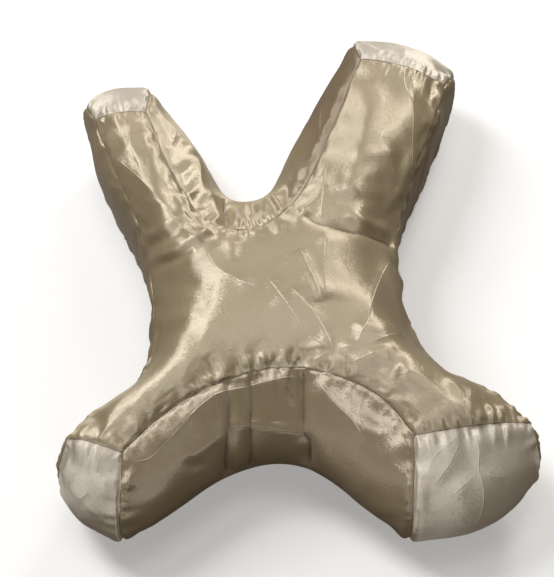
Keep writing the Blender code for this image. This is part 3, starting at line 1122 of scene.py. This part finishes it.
@dataclass
class Cover:
    """The sewn satin cover and the filling inside it, as one padded piece.

    Attributes:
        filling: How the simulation fills it.
        fine_levels: Levels of smoothing before the simulation.
        seam_rings: Rings of quads beside the upper seams that are split finer.
        seam_groove: How deep the cloth sinks at a seam.
        groove_width: How far from the seam the groove reaches.
        pucker: Height of a pucker of full strength.
        plain_strength: Strength of the puckers along most of a seam.
        pucker_reach: How far from the seam they are highest.
        pucker_span: How many of those reaches away they have died out.
        pucker_pitch: About how far apart they are.
        fine_pucker: Height and pitch of the finer puckers, as shares of the others'.
        unevenness: Height, pitch and seed of each faint wave over all the cloth.
        arch_nap_and_shade: How far the arch's wall is seen against its nap, below 0, which paints shade
            on it and widens its sheen.
    """

    MAP = "panel_map"
    NAP_AND_SHADE_TURN = 0.05             # how far into the right arm the notch wall's nap, and its painted shade, is at its full
    PANEL_SEED = 3.1            # from one panel's puckers to the next one's
    filling: Filling = field(default_factory=Filling)
    fine_levels: int = 3
    seam_rings: int = 3
    seam_groove: float = 0.0016
    groove_width: float = 0.0019
    pucker: float = 0.00216
    plain_strength: float = 0.42
    pucker_reach: float = 0.0045
    pucker_span: float = 6.0
    pucker_pitch: float = 0.0075
    fine_pucker: tuple[float, float] = (0.6, 0.55)
    unevenness: tuple[tuple[float, float, float], ...] = ((0.0009, 0.045, 5.0), (0.0004, 0.016, 9.0))
    # Painted shade and a wider sheen on the arch wall.
    arch_nap_and_shade: float = -0.45

    @staticmethod
    def smoothed(mesh: bpy.types.Mesh, levels: int, name: str) -> bpy.types.Object:
        """Smooth a mesh by subdivision.

        Args:
            mesh: The mesh to smooth.
            levels: Levels of subdivision.
            name: Name of the new object.

        Returns:
            A linked object with the smoothed mesh applied.
        """
        body = bpy.data.objects.new(name, mesh)
        bpy.context.scene.collection.objects.link(body)
        smoothing = body.modifiers.new("smoothing", "SUBSURF")
        smoothing.levels = levels
        smoothing.render_levels = levels
        smooth = body.evaluated_get(bpy.context.evaluated_depsgraph_get())
        body.data = bpy.data.meshes.new_from_object(smooth)
        body.modifiers.clear()
        body.data.shade_smooth()
        return body

    @staticmethod
    def centre(skin: Skin) -> None:
        """Centre a skin in plan, and let it rest on the floor."""
        low, high = skin.places.min(0), skin.places.max(0)
        skin.places[:, :2] -= (low[:2] + high[:2]) / 2
        skin.rest_on_floor()

    def fill(self, body: bpy.types.Object) -> None:
        """Fill the cover: pressure inside, held seams, and extra cloth gathered into them.

        Args:
            body: The smoothed cover, whose mesh is changed.
        """
        filling = self.filling
        skin = Skin(body.data)
        gap, nearest = skin.seam_gaps()
        moved = self.simulate(body, skin, gap)
        broad = skin.relax(moved, filling.swell_rounds)
        fade = np.exp(-(gap / filling.gather_reach) ** 2)
        gathered = filling.gather * (filling.calm + (1 - filling.calm) * fade)
        gathered[skin.panels[0] == Panel.NOTCH_WALL] *= filling.notch_calm
        gathered *= (1 + filling.local_loss * local_gather(nearest)).clip(filling.least, 1.0)
        kept = broad * filling.swell + (moved - broad) * gathered[:, None]
        length = np.linalg.norm(kept, axis=1, keepdims=True).clip(1e-9)
        skin.places += kept / length * (filling.most * np.tanh(length / filling.most))
        skin.rest_on_floor()
        LOG.info(
            "filled: the cloth moved up to %.1f mm, its wrinkles %.2f mm on average",
            np.linalg.norm(moved, axis=1).max() / MM,
            np.linalg.norm(moved - broad, axis=1).mean() / MM,
        )

    def simulate(self, body: bpy.types.Object, skin: Skin, gap: Floats) -> Floats:
        """Run the cloth simulation.

        Args:
            body: The smoothed cover, whose mesh stays as it is.
            skin: Its skin.
            gap: How far each vertex is from the nearest seam.

        Returns:
            How far each vertex moves.
        """
        filling = self.filling
        held = body.vertex_groups.new(name="held_seams")
        held.add(np.unique(skin.seam_edges()).tolist(), 1.0, "REPLACE")
        eased = body.vertex_groups.new(name="plain_cloth")
        for index, weight in enumerate(1 - np.exp(-(gap / filling.ease_reach) ** 2)):
            eased.add([index], float(weight), "REPLACE")
        cloth = body.modifiers.new("filling", "CLOTH")
        settings = cloth.settings
        for name, value in CLOTH_SETTINGS.items():
            setattr(settings, name, value)
        settings.vertex_group_mass = held.name
        settings.use_pressure = True
        settings.uniform_pressure_force = filling.pressure
        settings.effector_weights.gravity = 0.0
        settings.vertex_group_shrink = eased.name
        settings.shrink_min = -filling.ease
        settings.shrink_max = 0.0
        cloth.collision_settings.use_collision = False
        cloth.point_cache.frame_start = 1
        cloth.point_cache.frame_end = filling.frames
        scene = bpy.context.scene
        for step in range(1, filling.frames + 1):
            scene.frame_set(step)
        filled = body.evaluated_get(bpy.context.evaluated_depsgraph_get())
        moved = Skin.read(filled.data.vertices, "co", 3) - skin.places
        body.modifiers.remove(cloth)
        for group in (held, eased):
            body.vertex_groups.remove(group)
        scene.frame_set(1)
        return moved

    def refine_seams(self, mesh: bpy.types.Mesh) -> None:
        """Split the quads beside the upper and upright seams finer.

        Args:
            mesh: The smooth cover, which is changed.
        """
        shape = bmesh.new()
        shape.from_mesh(mesh)
        panel = shape.faces.layers.int["panel"]
        ring: set[Face] = set()
        for edge in shape.edges:
            panels = {face[panel] for face in edge.link_faces}
            if len(panels) == 2 and Panel.BACK not in panels:
                ring.update(face for vert in edge.verts for face in vert.link_faces)
        for _ in range(self.seam_rings - 1):
            ring.update([near for face in ring for vert in face.verts for near in vert.link_faces])
        split = {face for face in ring if face[panel] != Panel.BACK}
        edges = [edge for edge in shape.edges if not split.isdisjoint(edge.link_faces)]
        bmesh.ops.subdivide_edges(shape, edges=edges, cuts=1, use_grid_fill=True)
        shape.to_mesh(mesh)
        shape.free()
        mesh.shade_smooth()

    def gather_seams(self, skin: Skin) -> None:
        """Sink the seams, and raise puckers that run out from them.

        Args:
            skin: The fine skin, which is changed.
        """
        span = self.pucker_span * self.pucker_reach
        gap, nearest = skin.seam_gaps()
        normals = skin.normals()
        strength = self.plain_strength + local_gather(nearest)
        panel, _ = skin.panels
        share, pitch_share = self.fine_pucker
        lift = np.zeros(skin.count)
        for index in np.flatnonzero(gap < span):
            far = gap[index] / self.pucker_reach
            fade = far * math.exp(1 - far)
            spot, seed = nearest[index], self.PANEL_SEED * panel[index]
            fine = share * wave(spot, pitch_share * self.pucker_pitch, seed)
            lift[index] = fade * (wave(spot, self.pucker_pitch, seed) + fine) * strength[index]
        sink = np.exp(-(gap / self.groove_width))
        push = self.pucker * lift - self.seam_groove * sink
        skin.places += normals * push[:, None]
        skin.write()

    def fold_cloth(self, skin: Skin) -> None:
        """Press all the listed folds, and a faint unevenness between them."""
        press = FoldPress(skin)
        for fold in FOLDS:
            press.press(fold)
        press.lines.write(skin.mesh)
        uneven = np.array([
            sum(height * wave(place, pitch, seed) for height, pitch, seed in self.unevenness)
            for place in skin.places
        ])
        skin.places += press.normals * uneven[:, None]
        skin.rest_on_floor()

    def mark_finish(self, skin: Skin) -> None:
        """Write what the satin's finish needs: the way to a seam, and each face's nap, which also paints
        sheen and shade.

        Args:
            skin: The finished skin. The nap is 1 across the grain and below 0 against it; it also paints
                sheen and shade.
        """
        mesh = skin.mesh
        gap, _ = skin.seam_gaps()
        # The way to a seam sets the painted shade in the seams.
        seam = mesh.attributes.new("seam_gap", "FLOAT", "POINT")
        seam.data.foreach_set("value", gap.astype(np.float32))
        panel = Skin.read(mesh.attributes["panel"].data, "value", 1, np.int32)
        middle = Skin.read(mesh.polygons, "center", 3)
        # The nap paints light too: sheen on the end panels, shade on the arch wall and the notch wall.
        nap = np.isin(panel, list(END_PANELS)).astype(np.float32)
        nap[panel == Panel.ARCH_WALL] = self.arch_nap_and_shade
        # The notch wall darkens towards the right arm: painted shade.
        right_arm = (middle[:, 0] / self.NAP_AND_SHADE_TURN).clip(0, 1)
        nap = np.where(panel == Panel.NOTCH_WALL, -right_arm, nap)
        layer = mesh.attributes.new("nap", "FLOAT", "FACE")
        layer.data.foreach_set("value", nap.astype(np.float32))

    def build(self) -> bpy.types.Object:
        """Build the filled cover.

        Returns:
            The cover as a fine mesh.
        """
        body = self.smoothed(Cage().build(), self.fine_levels, "cover_rough")
        self.centre(Skin(body.data))
        self.fill(body)
        fine = self.smoothed(body.data, 1, "filled_satin_cover")
        bpy.data.objects.remove(body)
        self.refine_seams(fine.data)
        skin = Skin(fine.data)
        self.fold_cloth(skin)
        self.gather_seams(skin)
        self.mark_finish(skin)
        LOG.info("cover: %d faces", len(fine.data.polygons))
        return fine


@dataclass
class Stitching:
    """The thread that sews the panels: short stitches sunk along every seam.

    Attributes:
        pitch: From one stitch to the next.
        length: Length of a stitch that shows.
        thickness: Thickness of the thread.
        lift: How far the thread stands over the bottom of the seam.
    """

    SEGMENTS = (6, 4)           # a stitch's faces round it and along it
    pitch: float = 0.0035
    length: float = 0.0021
    thickness: float = 0.0006
    lift: float = 0.0002

    def runs(self, skin: Skin) -> list[list[int]]:
        """Follow the seams.

        Args:
            skin: The cover's skin.

        Returns:
            Each run of seam between two corners, or round a closed loop, as its vertices.
        """
        near: dict[int, list[int]] = {}
        for first, second in skin.seam_edges().tolist():
            near.setdefault(first, []).append(second)
            near.setdefault(second, []).append(first)
        corners = [vert for vert, others in near.items() if len(others) != 2]
        used: set[frozenset[int]] = set()
        found = []
        for start in [*corners, *near]:
            for step in near[start]:
                if frozenset((start, step)) in used:
                    continue
                run = [start, step]
                used.add(frozenset(run))
                while len(near[run[-1]]) == 2 and run[-1] != start:
                    ahead = next(other for other in near[run[-1]] if other != run[-2])
                    used.add(frozenset((run[-1], ahead)))
                    run.append(ahead)
                found.append(run)
        return found

    def one_stitch(self) -> bpy.types.Mesh:
        """Make one stitch along X at the origin.

        Returns:
            A slim rounded mesh of a few dozen faces.
        """
        shape = bmesh.new()
        size = Matrix.Diagonal((self.length, self.thickness, self.thickness, 1.0))
        around, along = self.SEGMENTS
        bmesh.ops.create_uvsphere(shape, u_segments=around, v_segments=along, radius=0.5, matrix=size)
        mesh = bpy.data.meshes.new("one_stitch")
        shape.to_mesh(mesh)
        shape.free()
        return mesh

    def build(self, cover: bpy.types.Object) -> bpy.types.Object:
        """Sew stitches along the seams of a cover.

        Args:
            cover: The finished cover.

        Returns:
            All the stitches as one mesh.
        """
        skin = Skin(cover.data)
        normals = skin.normals()
        stitch = self.one_stitch()
        thread = bmesh.new()
        for run in self.runs(skin):
            places = skin.places[run].astype(float) + normals[run] * self.lift
            steps = np.linalg.norm(np.diff(places, axis=0), axis=1)
            arc = np.concatenate([[0.0], np.cumsum(steps)])
            for middle in np.arange(self.pitch / 2, arc[-1], self.pitch):
                spots = np.array([middle - self.length / 2, middle, middle + self.length / 2])
                tail, heart, head = np.column_stack([np.interp(spots, arc, axis) for axis in places.T])
                turn = Vector(head - tail).to_track_quat("X", "Z").to_matrix().to_4x4()
                laid = Matrix.Translation(heart) @ turn
                stitch.transform(laid)
                thread.from_mesh(stitch)
                stitch.transform(laid.inverted())
        mesh = bpy.data.meshes.new("seam_stitches")
        thread.to_mesh(mesh)
        thread.free()
        bpy.data.meshes.remove(stitch)
        mesh.shade_smooth()
        stitches = bpy.data.objects.new("seam_stitches", mesh)
        bpy.context.scene.collection.objects.link(stitches)
        LOG.info("stitches: %d faces", len(mesh.polygons))
        return stitches


class NodeBench:
    """Adds and joins the nodes of one material."""

    def __init__(self, name: str) -> None:
        """Make a material with an empty Principled shader."""
        self.material = bpy.data.materials.new(name)
        self.material.use_nodes = True
        self.tree = self.material.node_tree
        self.shader = self.tree.nodes["Principled BSDF"]

    def add(self, kind: str, **values: Any) -> bpy.types.Node:
        """Add a node.

        Args:
            kind: The node's type after "ShaderNode".
            values: Its properties.

        Returns:
            The node.
        """
        node = self.tree.nodes.new("ShaderNode" + kind)
        for name, value in values.items():
            setattr(node, name, value)
        return node

    def feed(self, node: bpy.types.Node, **inputs: Any) -> bpy.types.Node:
        """Feed a node's inputs, by name with spaces as underscores, with values or sockets.

        Args:
            node: The node.
            inputs: Values and output sockets.

        Returns:
            The same node.
        """
        for name, value in inputs.items():
            key = int(name[1:]) if name[0] == "_" else name.replace("_", " ")
            if isinstance(value, bpy.types.NodeSocket):
                self.tree.links.new(value, node.inputs[key])
            else:
                node.inputs[key].default_value = value
        return node

    def attribute(self, name: str, output: str = "Fac") -> Any:
        """Add an Attribute node and return one of its outputs."""
        return self.add("Attribute", attribute_name=name).outputs[output]

    def clouds(self, place: Any, scale: float, detail: float, **values: Any) -> bpy.types.Node:
        """Add a Noise Texture node, whose first output is its value and second its colour."""
        return self.feed(self.add("TexNoise"), Vector=place, Scale=scale, Detail=detail, **values)

    def bump(self, height: Any, strength: float, distance: float, **normal: Any) -> Any:
        """Add a Bump node and return the normal it gives."""
        node = self.add("Bump")
        return self.feed(node, Height=height, Strength=strength, Distance=distance, **normal).outputs[0]

    def vectors(self, operation: str, *values: Any) -> bpy.types.Node:
        """Add a Vector Math node, fed with values in their order."""
        inputs = {f"_{spot}": value for spot, value in enumerate(values)}
        return self.feed(self.add("VectorMath", operation=operation), **inputs)

    def maths(self, operation: str, first: Any, second: Any, clamp: bool = False) -> Any:
        """Add a Math node and return its output."""
        node = self.add("Math", operation=operation, use_clamp=clamp)
        return self.feed(node, _0=first, _1=second).outputs[0]

    def ramp(self, value: Any, low: float, high: float, start: float, end: float) -> Any:
        """Add a smooth Map Range from low..high to start..end and return its output."""
        node = self.add("MapRange", interpolation_type="SMOOTHSTEP")
        names = {"Value": value, "From_Min": low, "From_Max": high, "To_Min": start, "To_Max": end}
        return self.feed(node, **names).outputs[0]

    def tint(self, share: Any, first: Any, second: Any) -> Any:
        """Add a colour Mix node and return its output."""
        node = self.add("Mix", data_type="RGBA")
        self.tree.links.new(share, node.inputs["Factor"])
        for socket, value in ((node.inputs[6], first), (node.inputs[7], second)):
            if isinstance(value, bpy.types.NodeSocket):
                self.tree.links.new(value, socket)
            else:
                socket.default_value = value
        return node.outputs[2]


@dataclass(frozen=True)
class Satin:
    """Champagne polyester satin: long shiny floats along one thread direction.

    Attributes:
        body_colour: Colour of most of the cloth.
        deep_colour: Colour where the dye or the weave lies deeper.
        end_sheen_colour: Colour of the end panels, which are cut across the grain: a painted silver
            sheen.
        wall_shade_colour: Colour of the walls seen against their nap: painted shade.
        worn_and_highlight_colour: Colour of the pressed edges of folds: their pressed look and a painted
            highlight on their crests.
        seam_shade_colour: Colour down in the seams: painted shade.
        cross: How far the cloth takes the painted sheen of the end panels.
        against: How far it takes the painted shade of the walls.
        worn_and_highlight: How far a pressed edge takes its colour: its pressed look and a painted
            highlight.
        hollow_shade: How far it takes the seam shade colour along a pressed hollow: painted shade.
        streak: How far a float takes the deep colour.
        seam_shade_width: How wide the painted shade of a seam is.
        roughness: Spread of the sheen.
        cross_spread: What is added to it across the grain.
        against_spread: What is added to it against the nap.
        patch_spread: What is added to it in the deepest and the palest patches.
        thread_spread: What is added to it between the floats and on them.
        metallic: How far the sheen takes the cloth's colour.
        index: Strength of the part of the sheen that stays white.
        stretch: How far the sheen is stretched across the floats.
        fuzz: Strength of the fine fibres' glow.
        fuzz_spread: Spread of that glow.
        grain: How unevenly the floats lie, thread by thread.
        grain_pitch: Size of that grain.
        thread_scale: How fine the floats are across and along, for each metre.
        patch_scale: How fine the patches of dye are, for each metre.
        crumple_scale: How fine the small crumples are, for each metre.
        crumple_height: How far they stand out.
        thread_height: How far the floats stand out.
        line_width: Width of a pressed line, in millimetres.
        line_height: How far a pressed line stands out.
    """

    body_colour: Colour = (0.58, 0.475, 0.305, 1.0)
    deep_colour: Colour = (0.45, 0.365, 0.215, 1.0)
    # Painted sheen: the end panels are tinted a lighter silver.
    end_sheen_colour: Colour = (0.78, 0.71, 0.60, 1.0)
    # Painted shade: the walls seen against their nap are darker.
    wall_shade_colour: Colour = (0.30, 0.22, 0.13, 1.0)
    # Pressed edges lighter: their pressed look and a painted highlight.
    worn_and_highlight_colour: Colour = (0.70, 0.62, 0.49, 1.0)
    # Painted shade down in the seams and along deep hollows.
    seam_shade_colour: Colour = (0.12, 0.085, 0.05, 1.0)
    cross: float = 0.8
    against: float = 0.93
    worn_and_highlight: float = 0.3
    # Painted shade along pressed hollows.
    hollow_shade: float = 0.6
    streak: float = 0.35
    seam_shade_width: float = 0.0010
    roughness: float = 0.44
    cross_spread: float = 0.08
    against_spread: float = 0.15
    patch_spread: tuple[float, float] = (-0.04, 0.05)
    thread_spread: tuple[float, float] = (-0.03, 0.03)
    metallic: float = 0.32
    index: float = 2.8
    stretch: float = 0.90
    fuzz: float = 0.15
    fuzz_spread: float = 0.4
    grain: float = 0.36
    grain_pitch: float = 0.0011
    thread_scale: tuple[float, float, float] = (1500.0, 190.0, 1.0)
    patch_scale: float = 9.0
    crumple_scale: float = 70.0
    crumple_height: float = 0.0012
    thread_height: float = 0.0002
    line_width: float = 0.8
    line_height: float = 0.00017

    def pressed_lines(self, bench: NodeBench) -> Any:
        """Draw the pressed lines of the sharp folds.

        Args:
            bench: The material's bench.

        Returns:
            A socket that is 1 on an edge, -1 on a hollow and 0 away from both.
        """
        total: Any = 0.0
        for group in range(CreaseLines.GROUPS):
            line = bench.attribute(CreaseLines.name(group), "Vector")
            parts = bench.feed(bench.add("SeparateXYZ"), Vector=line).outputs
            gap = bench.maths("ABSOLUTE", parts[0], 0.0)
            on_line = bench.ramp(gap, 0.0, self.line_width, 1.0, 0.0)
            total = bench.maths("ADD", bench.maths("MULTIPLY", on_line, parts[1]), total)
        return total

    def dyed(self, bench: NodeBench, nap: Any, patches: Any, threads: Any, lines: Any) -> Any:
        """Colour the cloth, with painted sheen, highlight and shade in it.

        Args:
            bench: The material's bench.
            nap: 1 across the grain, and below 0 against the nap; it paints sheen and shade.
            patches: Soft patches from 0 to 1.
            threads: The floats from 0 to 1.
            lines: What pressed_lines gave.

        Returns:
            The colour.
        """
        cloth = bench.tint(bench.ramp(patches, 0.3, 0.7, 0.0, 1.0), self.deep_colour, self.body_colour)
        colour = bench.tint(bench.ramp(threads, 0.2, 0.8, 0.0, self.streak), cloth, self.deep_colour)
        layers = (
            # Painted sheen on the end panels.
            (nap, self.cross, self.end_sheen_colour),
            # Painted shade on the arch wall and on the right arm's inner wall.
            (nap, -self.against, self.wall_shade_colour),
            # Pressed edges lighter: their pressed look and a painted highlight.
            (lines, self.worn_and_highlight, self.worn_and_highlight_colour),
            # Painted shade along pressed hollows.
            (lines, -self.hollow_shade, self.seam_shade_colour),
        )
        for where, share, over in layers:
            colour = bench.tint(bench.maths("MULTIPLY", where, share, clamp=True), colour, over)
        # Painted shade down in the seams.
        seam_shade = bench.ramp(bench.attribute("seam_gap"), 0.0, self.seam_shade_width, 1.0, 0.0)
        return bench.tint(seam_shade, colour, self.seam_shade_colour)

    def spread(self, bench: NodeBench, nap: Any, patches: Any, threads: Any) -> Any:
        """Work out how far the sheen spreads.

        Args:
            bench: The material's bench.
            nap: 1 across the grain, and below 0 against the nap.
            patches: Soft patches from 0 to 1.
            threads: The floats from 0 to 1.

        Returns:
            The roughness.
        """
        across = bench.maths("MULTIPLY", nap, self.cross_spread)
        against = bench.maths("MULTIPLY", nap, -self.against_spread)
        wider = bench.maths("MAXIMUM", against, across)
        uneven = bench.maths("ADD", bench.ramp(patches, 0.2, 0.8, *self.patch_spread), wider)
        rough = bench.maths("ADD", uneven, self.roughness)
        return bench.maths("ADD", rough, bench.ramp(threads, 0.2, 0.8, *self.thread_spread))

    def relief(self, bench: NodeBench, place: Any, threads: Any, lines: Any) -> Any:
        """Raise small crumples, pressed lines and floats, and tilt the floats unevenly.

        Args:
            bench: The material's bench.
            place: Object coordinates.
            threads: The floats from 0 to 1.
            lines: What pressed_lines gave.

        Returns:
            The normal.
        """
        crumple = bench.clouds(place, self.crumple_scale, 3.0, Distortion=0.6).outputs[0]
        rumpled = bench.bump(crumple, 0.25, self.crumple_height)
        pressed = bench.bump(lines, 1.0, self.line_height, Normal=rumpled)
        weave = bench.bump(threads, 0.2, self.thread_height, Normal=pressed)
        speck = bench.clouds(place, 1 / self.grain_pitch, 1.0).outputs[1]
        middle = (-self.grain / 2,) * 3
        tilt = bench.vectors("MULTIPLY_ADD", speck, (self.grain,) * 3, middle).outputs[0]
        tilted = bench.vectors("ADD", weave, tilt).outputs[0]
        return bench.vectors("NORMALIZE", tilted).outputs[0]

    def material(self) -> bpy.types.Material:
        """Make the cloth's material.

        Returns:
            The material.
        """
        bench = NodeBench("champagne_satin")
        cloth_map = bench.add("UVMap", uv_map=Cover.MAP).outputs[0]
        place = bench.add("TexCoord").outputs["Object"]
        # The nap drives the roughness, and paints sheen and shade into the colour.
        nap = bench.attribute("nap")
        lines = self.pressed_lines(bench)
        patches = bench.clouds(place, self.patch_scale, 3.0).outputs[0]
        floats = bench.feed(bench.add("Mapping"), Vector=cloth_map, Scale=self.thread_scale).outputs[0]
        threads = bench.clouds(floats, 1.0, 2.0).outputs[0]
        bench.feed(
            bench.shader,
            Base_Color=self.dyed(bench, nap, patches, threads, lines),
            Roughness=self.spread(bench, nap, patches, threads),
            Metallic=self.metallic,
            IOR=self.index,
            Anisotropic=self.stretch,
            Sheen_Weight=self.fuzz,
            Sheen_Roughness=self.fuzz_spread,
            Normal=self.relief(bench, place, threads, lines),
            Tangent=bench.add("Tangent", direction_type="UV_MAP", uv_map=Cover.MAP).outputs[0],
        )
        return bench.material


@dataclass(frozen=True)
class Thread:
    """Twisted polyester sewing thread, a shade deeper than the cloth."""

    light_colour: Colour = (0.40, 0.32, 0.21, 1.0)
    dark_colour: Colour = (0.22, 0.16, 0.10, 1.0)
    twist: float = 2600.0
    fuzz: float = 0.2
    fibre_height: float = 0.0001

    def material(self) -> bpy.types.Material:
        """Make the thread's material.

        Returns:
            The material.
        """
        bench = NodeBench("sewing_thread")
        place = bench.add("TexCoord").outputs["Object"]
        fibres = bench.clouds(place, self.twist, 2.0).outputs[0]
        bench.feed(
            bench.shader,
            Base_Color=bench.tint(
                bench.ramp(fibres, 0.3, 0.7, 0.0, 1.0), self.dark_colour, self.light_colour
            ),
            Roughness=bench.ramp(fibres, 0.2, 0.8, 0.45, 0.65),
            Sheen_Weight=self.fuzz,
            Normal=bench.bump(fibres, 0.5, self.fibre_height),
        )
        return bench.material


@dataclass(frozen=True)
class Softbox:
    """A square studio light, in metres and watts."""

    name: str
    place: tuple[float, float, float]
    size: float
    watts: float
    colour: tuple[float, float, float] = (1.0, 1.0, 1.0)


@dataclass
class Studio:
    """The pale floor, the lights and the camera.

    Attributes:
        target: What the camera and lights look at.
        azimuth: Degrees the camera stands to the right of the front.
        elevation: Degrees it stands above the floor.
        distance: How far away it stands.
        sensor: Height of its sensor, in millimetres.
        lens: Focal length, in millimetres.
        lights: The softboxes.
        room_colour: Colour of the room's own light.
        room_glow: Strength of that light.
        backdrop: Colour of the room as the camera sees it.
        floor_lit: Colour of the floor as the pillow sees it.
        floor_seen: Colour of the floor as the camera sees it.
        floor_size: Half the floor's width.
        floor_drop: How far the floor lies below the pillow.
        glow_reach: The distances from the middle between which the floor's glow rises.
        glow: How strongly the floor glows at those two distances.
    """

    target: tuple[float, float, float] = (0.0, -0.0054, 0.06)
    azimuth: float = -6.0
    elevation: float = 60.0
    distance: float = 1.30
    sensor: float = 36.0
    lens: float = 97.3
    lights: tuple[Softbox, ...] = (
        Softbox("left_light", (-0.90, 0.60, 1.30), 0.45, 7.0),
        Softbox("key_light", (-0.60, 0.35, 1.60), 0.45, 8.4),
        Softbox("window_light", (0.90, 1.30, 0.90), 0.5, 9.8, (1.0, 0.97, 0.92)),
        Softbox("back_light", (0.50, 1.00, 1.40), 0.4, 2.2),
        Softbox("front_light", (0.10, -1.60, 0.85), 0.7, 3.4),
        Softbox("top_light", (0.05, -0.05, 1.80), 0.5, 3.2),
    )
    room_colour: Colour = (1.0, 0.85, 0.68, 1.0)
    room_glow: float = 0.11
    backdrop: Colour = (0.94, 0.94, 0.94, 1.0)
    floor_lit: Colour = (0.14, 0.11, 0.085, 1.0)
    floor_seen: Colour = (0.95, 0.95, 0.95, 1.0)
    floor_size: float = 6.0
    floor_drop: float = 0.0004
    glow_reach: tuple[float, float] = (0.7, 3.0)
    glow: tuple[float, float] = (0.28, 0.85)

    def aim(self, thing: bpy.types.Object, place: Vector) -> None:
        """Put a camera or light at a place and turn it to the target."""
        thing.location = place
        thing.rotation_euler = (Vector(self.target) - place).to_track_quat("-Z", "Y").to_euler()
        bpy.context.scene.collection.objects.link(thing)

    def add_camera(self) -> None:
        """Stand the camera over the pillow's feet."""
        turn, rise = math.radians(self.azimuth), math.radians(self.elevation)
        back = Vector((math.sin(turn) * math.cos(rise), -math.cos(turn) * math.cos(rise), math.sin(rise)))
        camera = bpy.data.cameras.new("camera")
        camera.sensor_fit = "VERTICAL"
        camera.sensor_height = self.sensor
        camera.lens = self.lens
        stand = bpy.data.objects.new("camera", camera)
        self.aim(stand, Vector(self.target) + back * self.distance)
        bpy.context.scene.camera = stand

    def add_lights(self) -> None:
        """Hang the softboxes."""
        for box in self.lights:
            lamp = bpy.data.lights.new(box.name, "AREA")
            lamp.size = box.size
            lamp.energy = box.watts
            lamp.color = box.colour
            self.aim(bpy.data.objects.new(box.name, lamp), Vector(box.place))

    def add_room(self) -> None:
        """Put a dim even room round the floor, which the camera sees as a pale backdrop."""
        world = bpy.data.worlds.new("room")
        world.use_nodes = True
        tree = world.node_tree
        room = tree.nodes["Background"]
        room.inputs["Color"].default_value = self.room_colour
        room.inputs["Strength"].default_value = self.room_glow
        backdrop = tree.nodes.new("ShaderNodeBackground")
        backdrop.inputs["Color"].default_value = self.backdrop
        seen = tree.nodes.new("ShaderNodeLightPath")
        mix = tree.nodes.new("ShaderNodeMixShader")
        tree.links.new(seen.outputs["Is Camera Ray"], mix.inputs[0])
        tree.links.new(room.outputs[0], mix.inputs[1])
        tree.links.new(backdrop.outputs[0], mix.inputs[2])
        tree.links.new(mix.outputs[0], tree.nodes["World Output"].inputs["Surface"])
        bpy.context.scene.world = world

    def add_floor(self) -> None:
        """Lay the pale floor."""
        shape = bmesh.new()
        lowered = Matrix.Translation((0.0, 0.0, -self.floor_drop))
        bmesh.ops.create_grid(
            shape, x_segments=1, y_segments=1, size=self.floor_size, matrix=lowered
        )
        mesh = bpy.data.meshes.new("floor")
        shape.to_mesh(mesh)
        shape.free()
        floor = bpy.data.objects.new("floor", mesh)
        bpy.context.scene.collection.objects.link(floor)
        bench = NodeBench("pale_floor")
        seen = bench.add("LightPath").outputs["Is Camera Ray"]
        place = bench.add("NewGeometry").outputs["Position"]
        reach = bench.vectors("LENGTH", place).outputs["Value"]
        bench.feed(
            bench.shader,
            Base_Color=bench.tint(seen, self.floor_lit, self.floor_seen),
            Roughness=0.9,
            Specular_IOR_Level=0.1,
            Emission_Color=bench.tint(seen, (0.0, 0.0, 0.0, 1.0), self.floor_seen),
            Emission_Strength=bench.ramp(reach, *self.glow_reach, *self.glow),
        )
        mesh.materials.append(bench.material)

    def build(self) -> None:
        """Set up the whole studio."""
        self.add_floor()
        self.add_lights()
        self.add_room()
        self.add_camera()
        bpy.context.scene.view_settings.view_transform = "Standard"
        LOG.info("studio: %d lights", len(self.lights))


def main() -> None:
    """Build the pillow and its studio, and attach each piece to the root body."""
    logging.basicConfig(level=logging.INFO, format="%(name)s: %(message)s")
    cover = Cover().build()
    cover.data.materials.append(Satin().material())
    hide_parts("pillow")
    stitches = Stitching().build(cover)
    stitches.data.materials.append(Thread().material())
    for piece in (cover, stitches):
        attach(piece, "root")
        LOG.info("piece %s rides on root", piece.name)
    Studio().build()


if __name__ == "__main__":
    main()
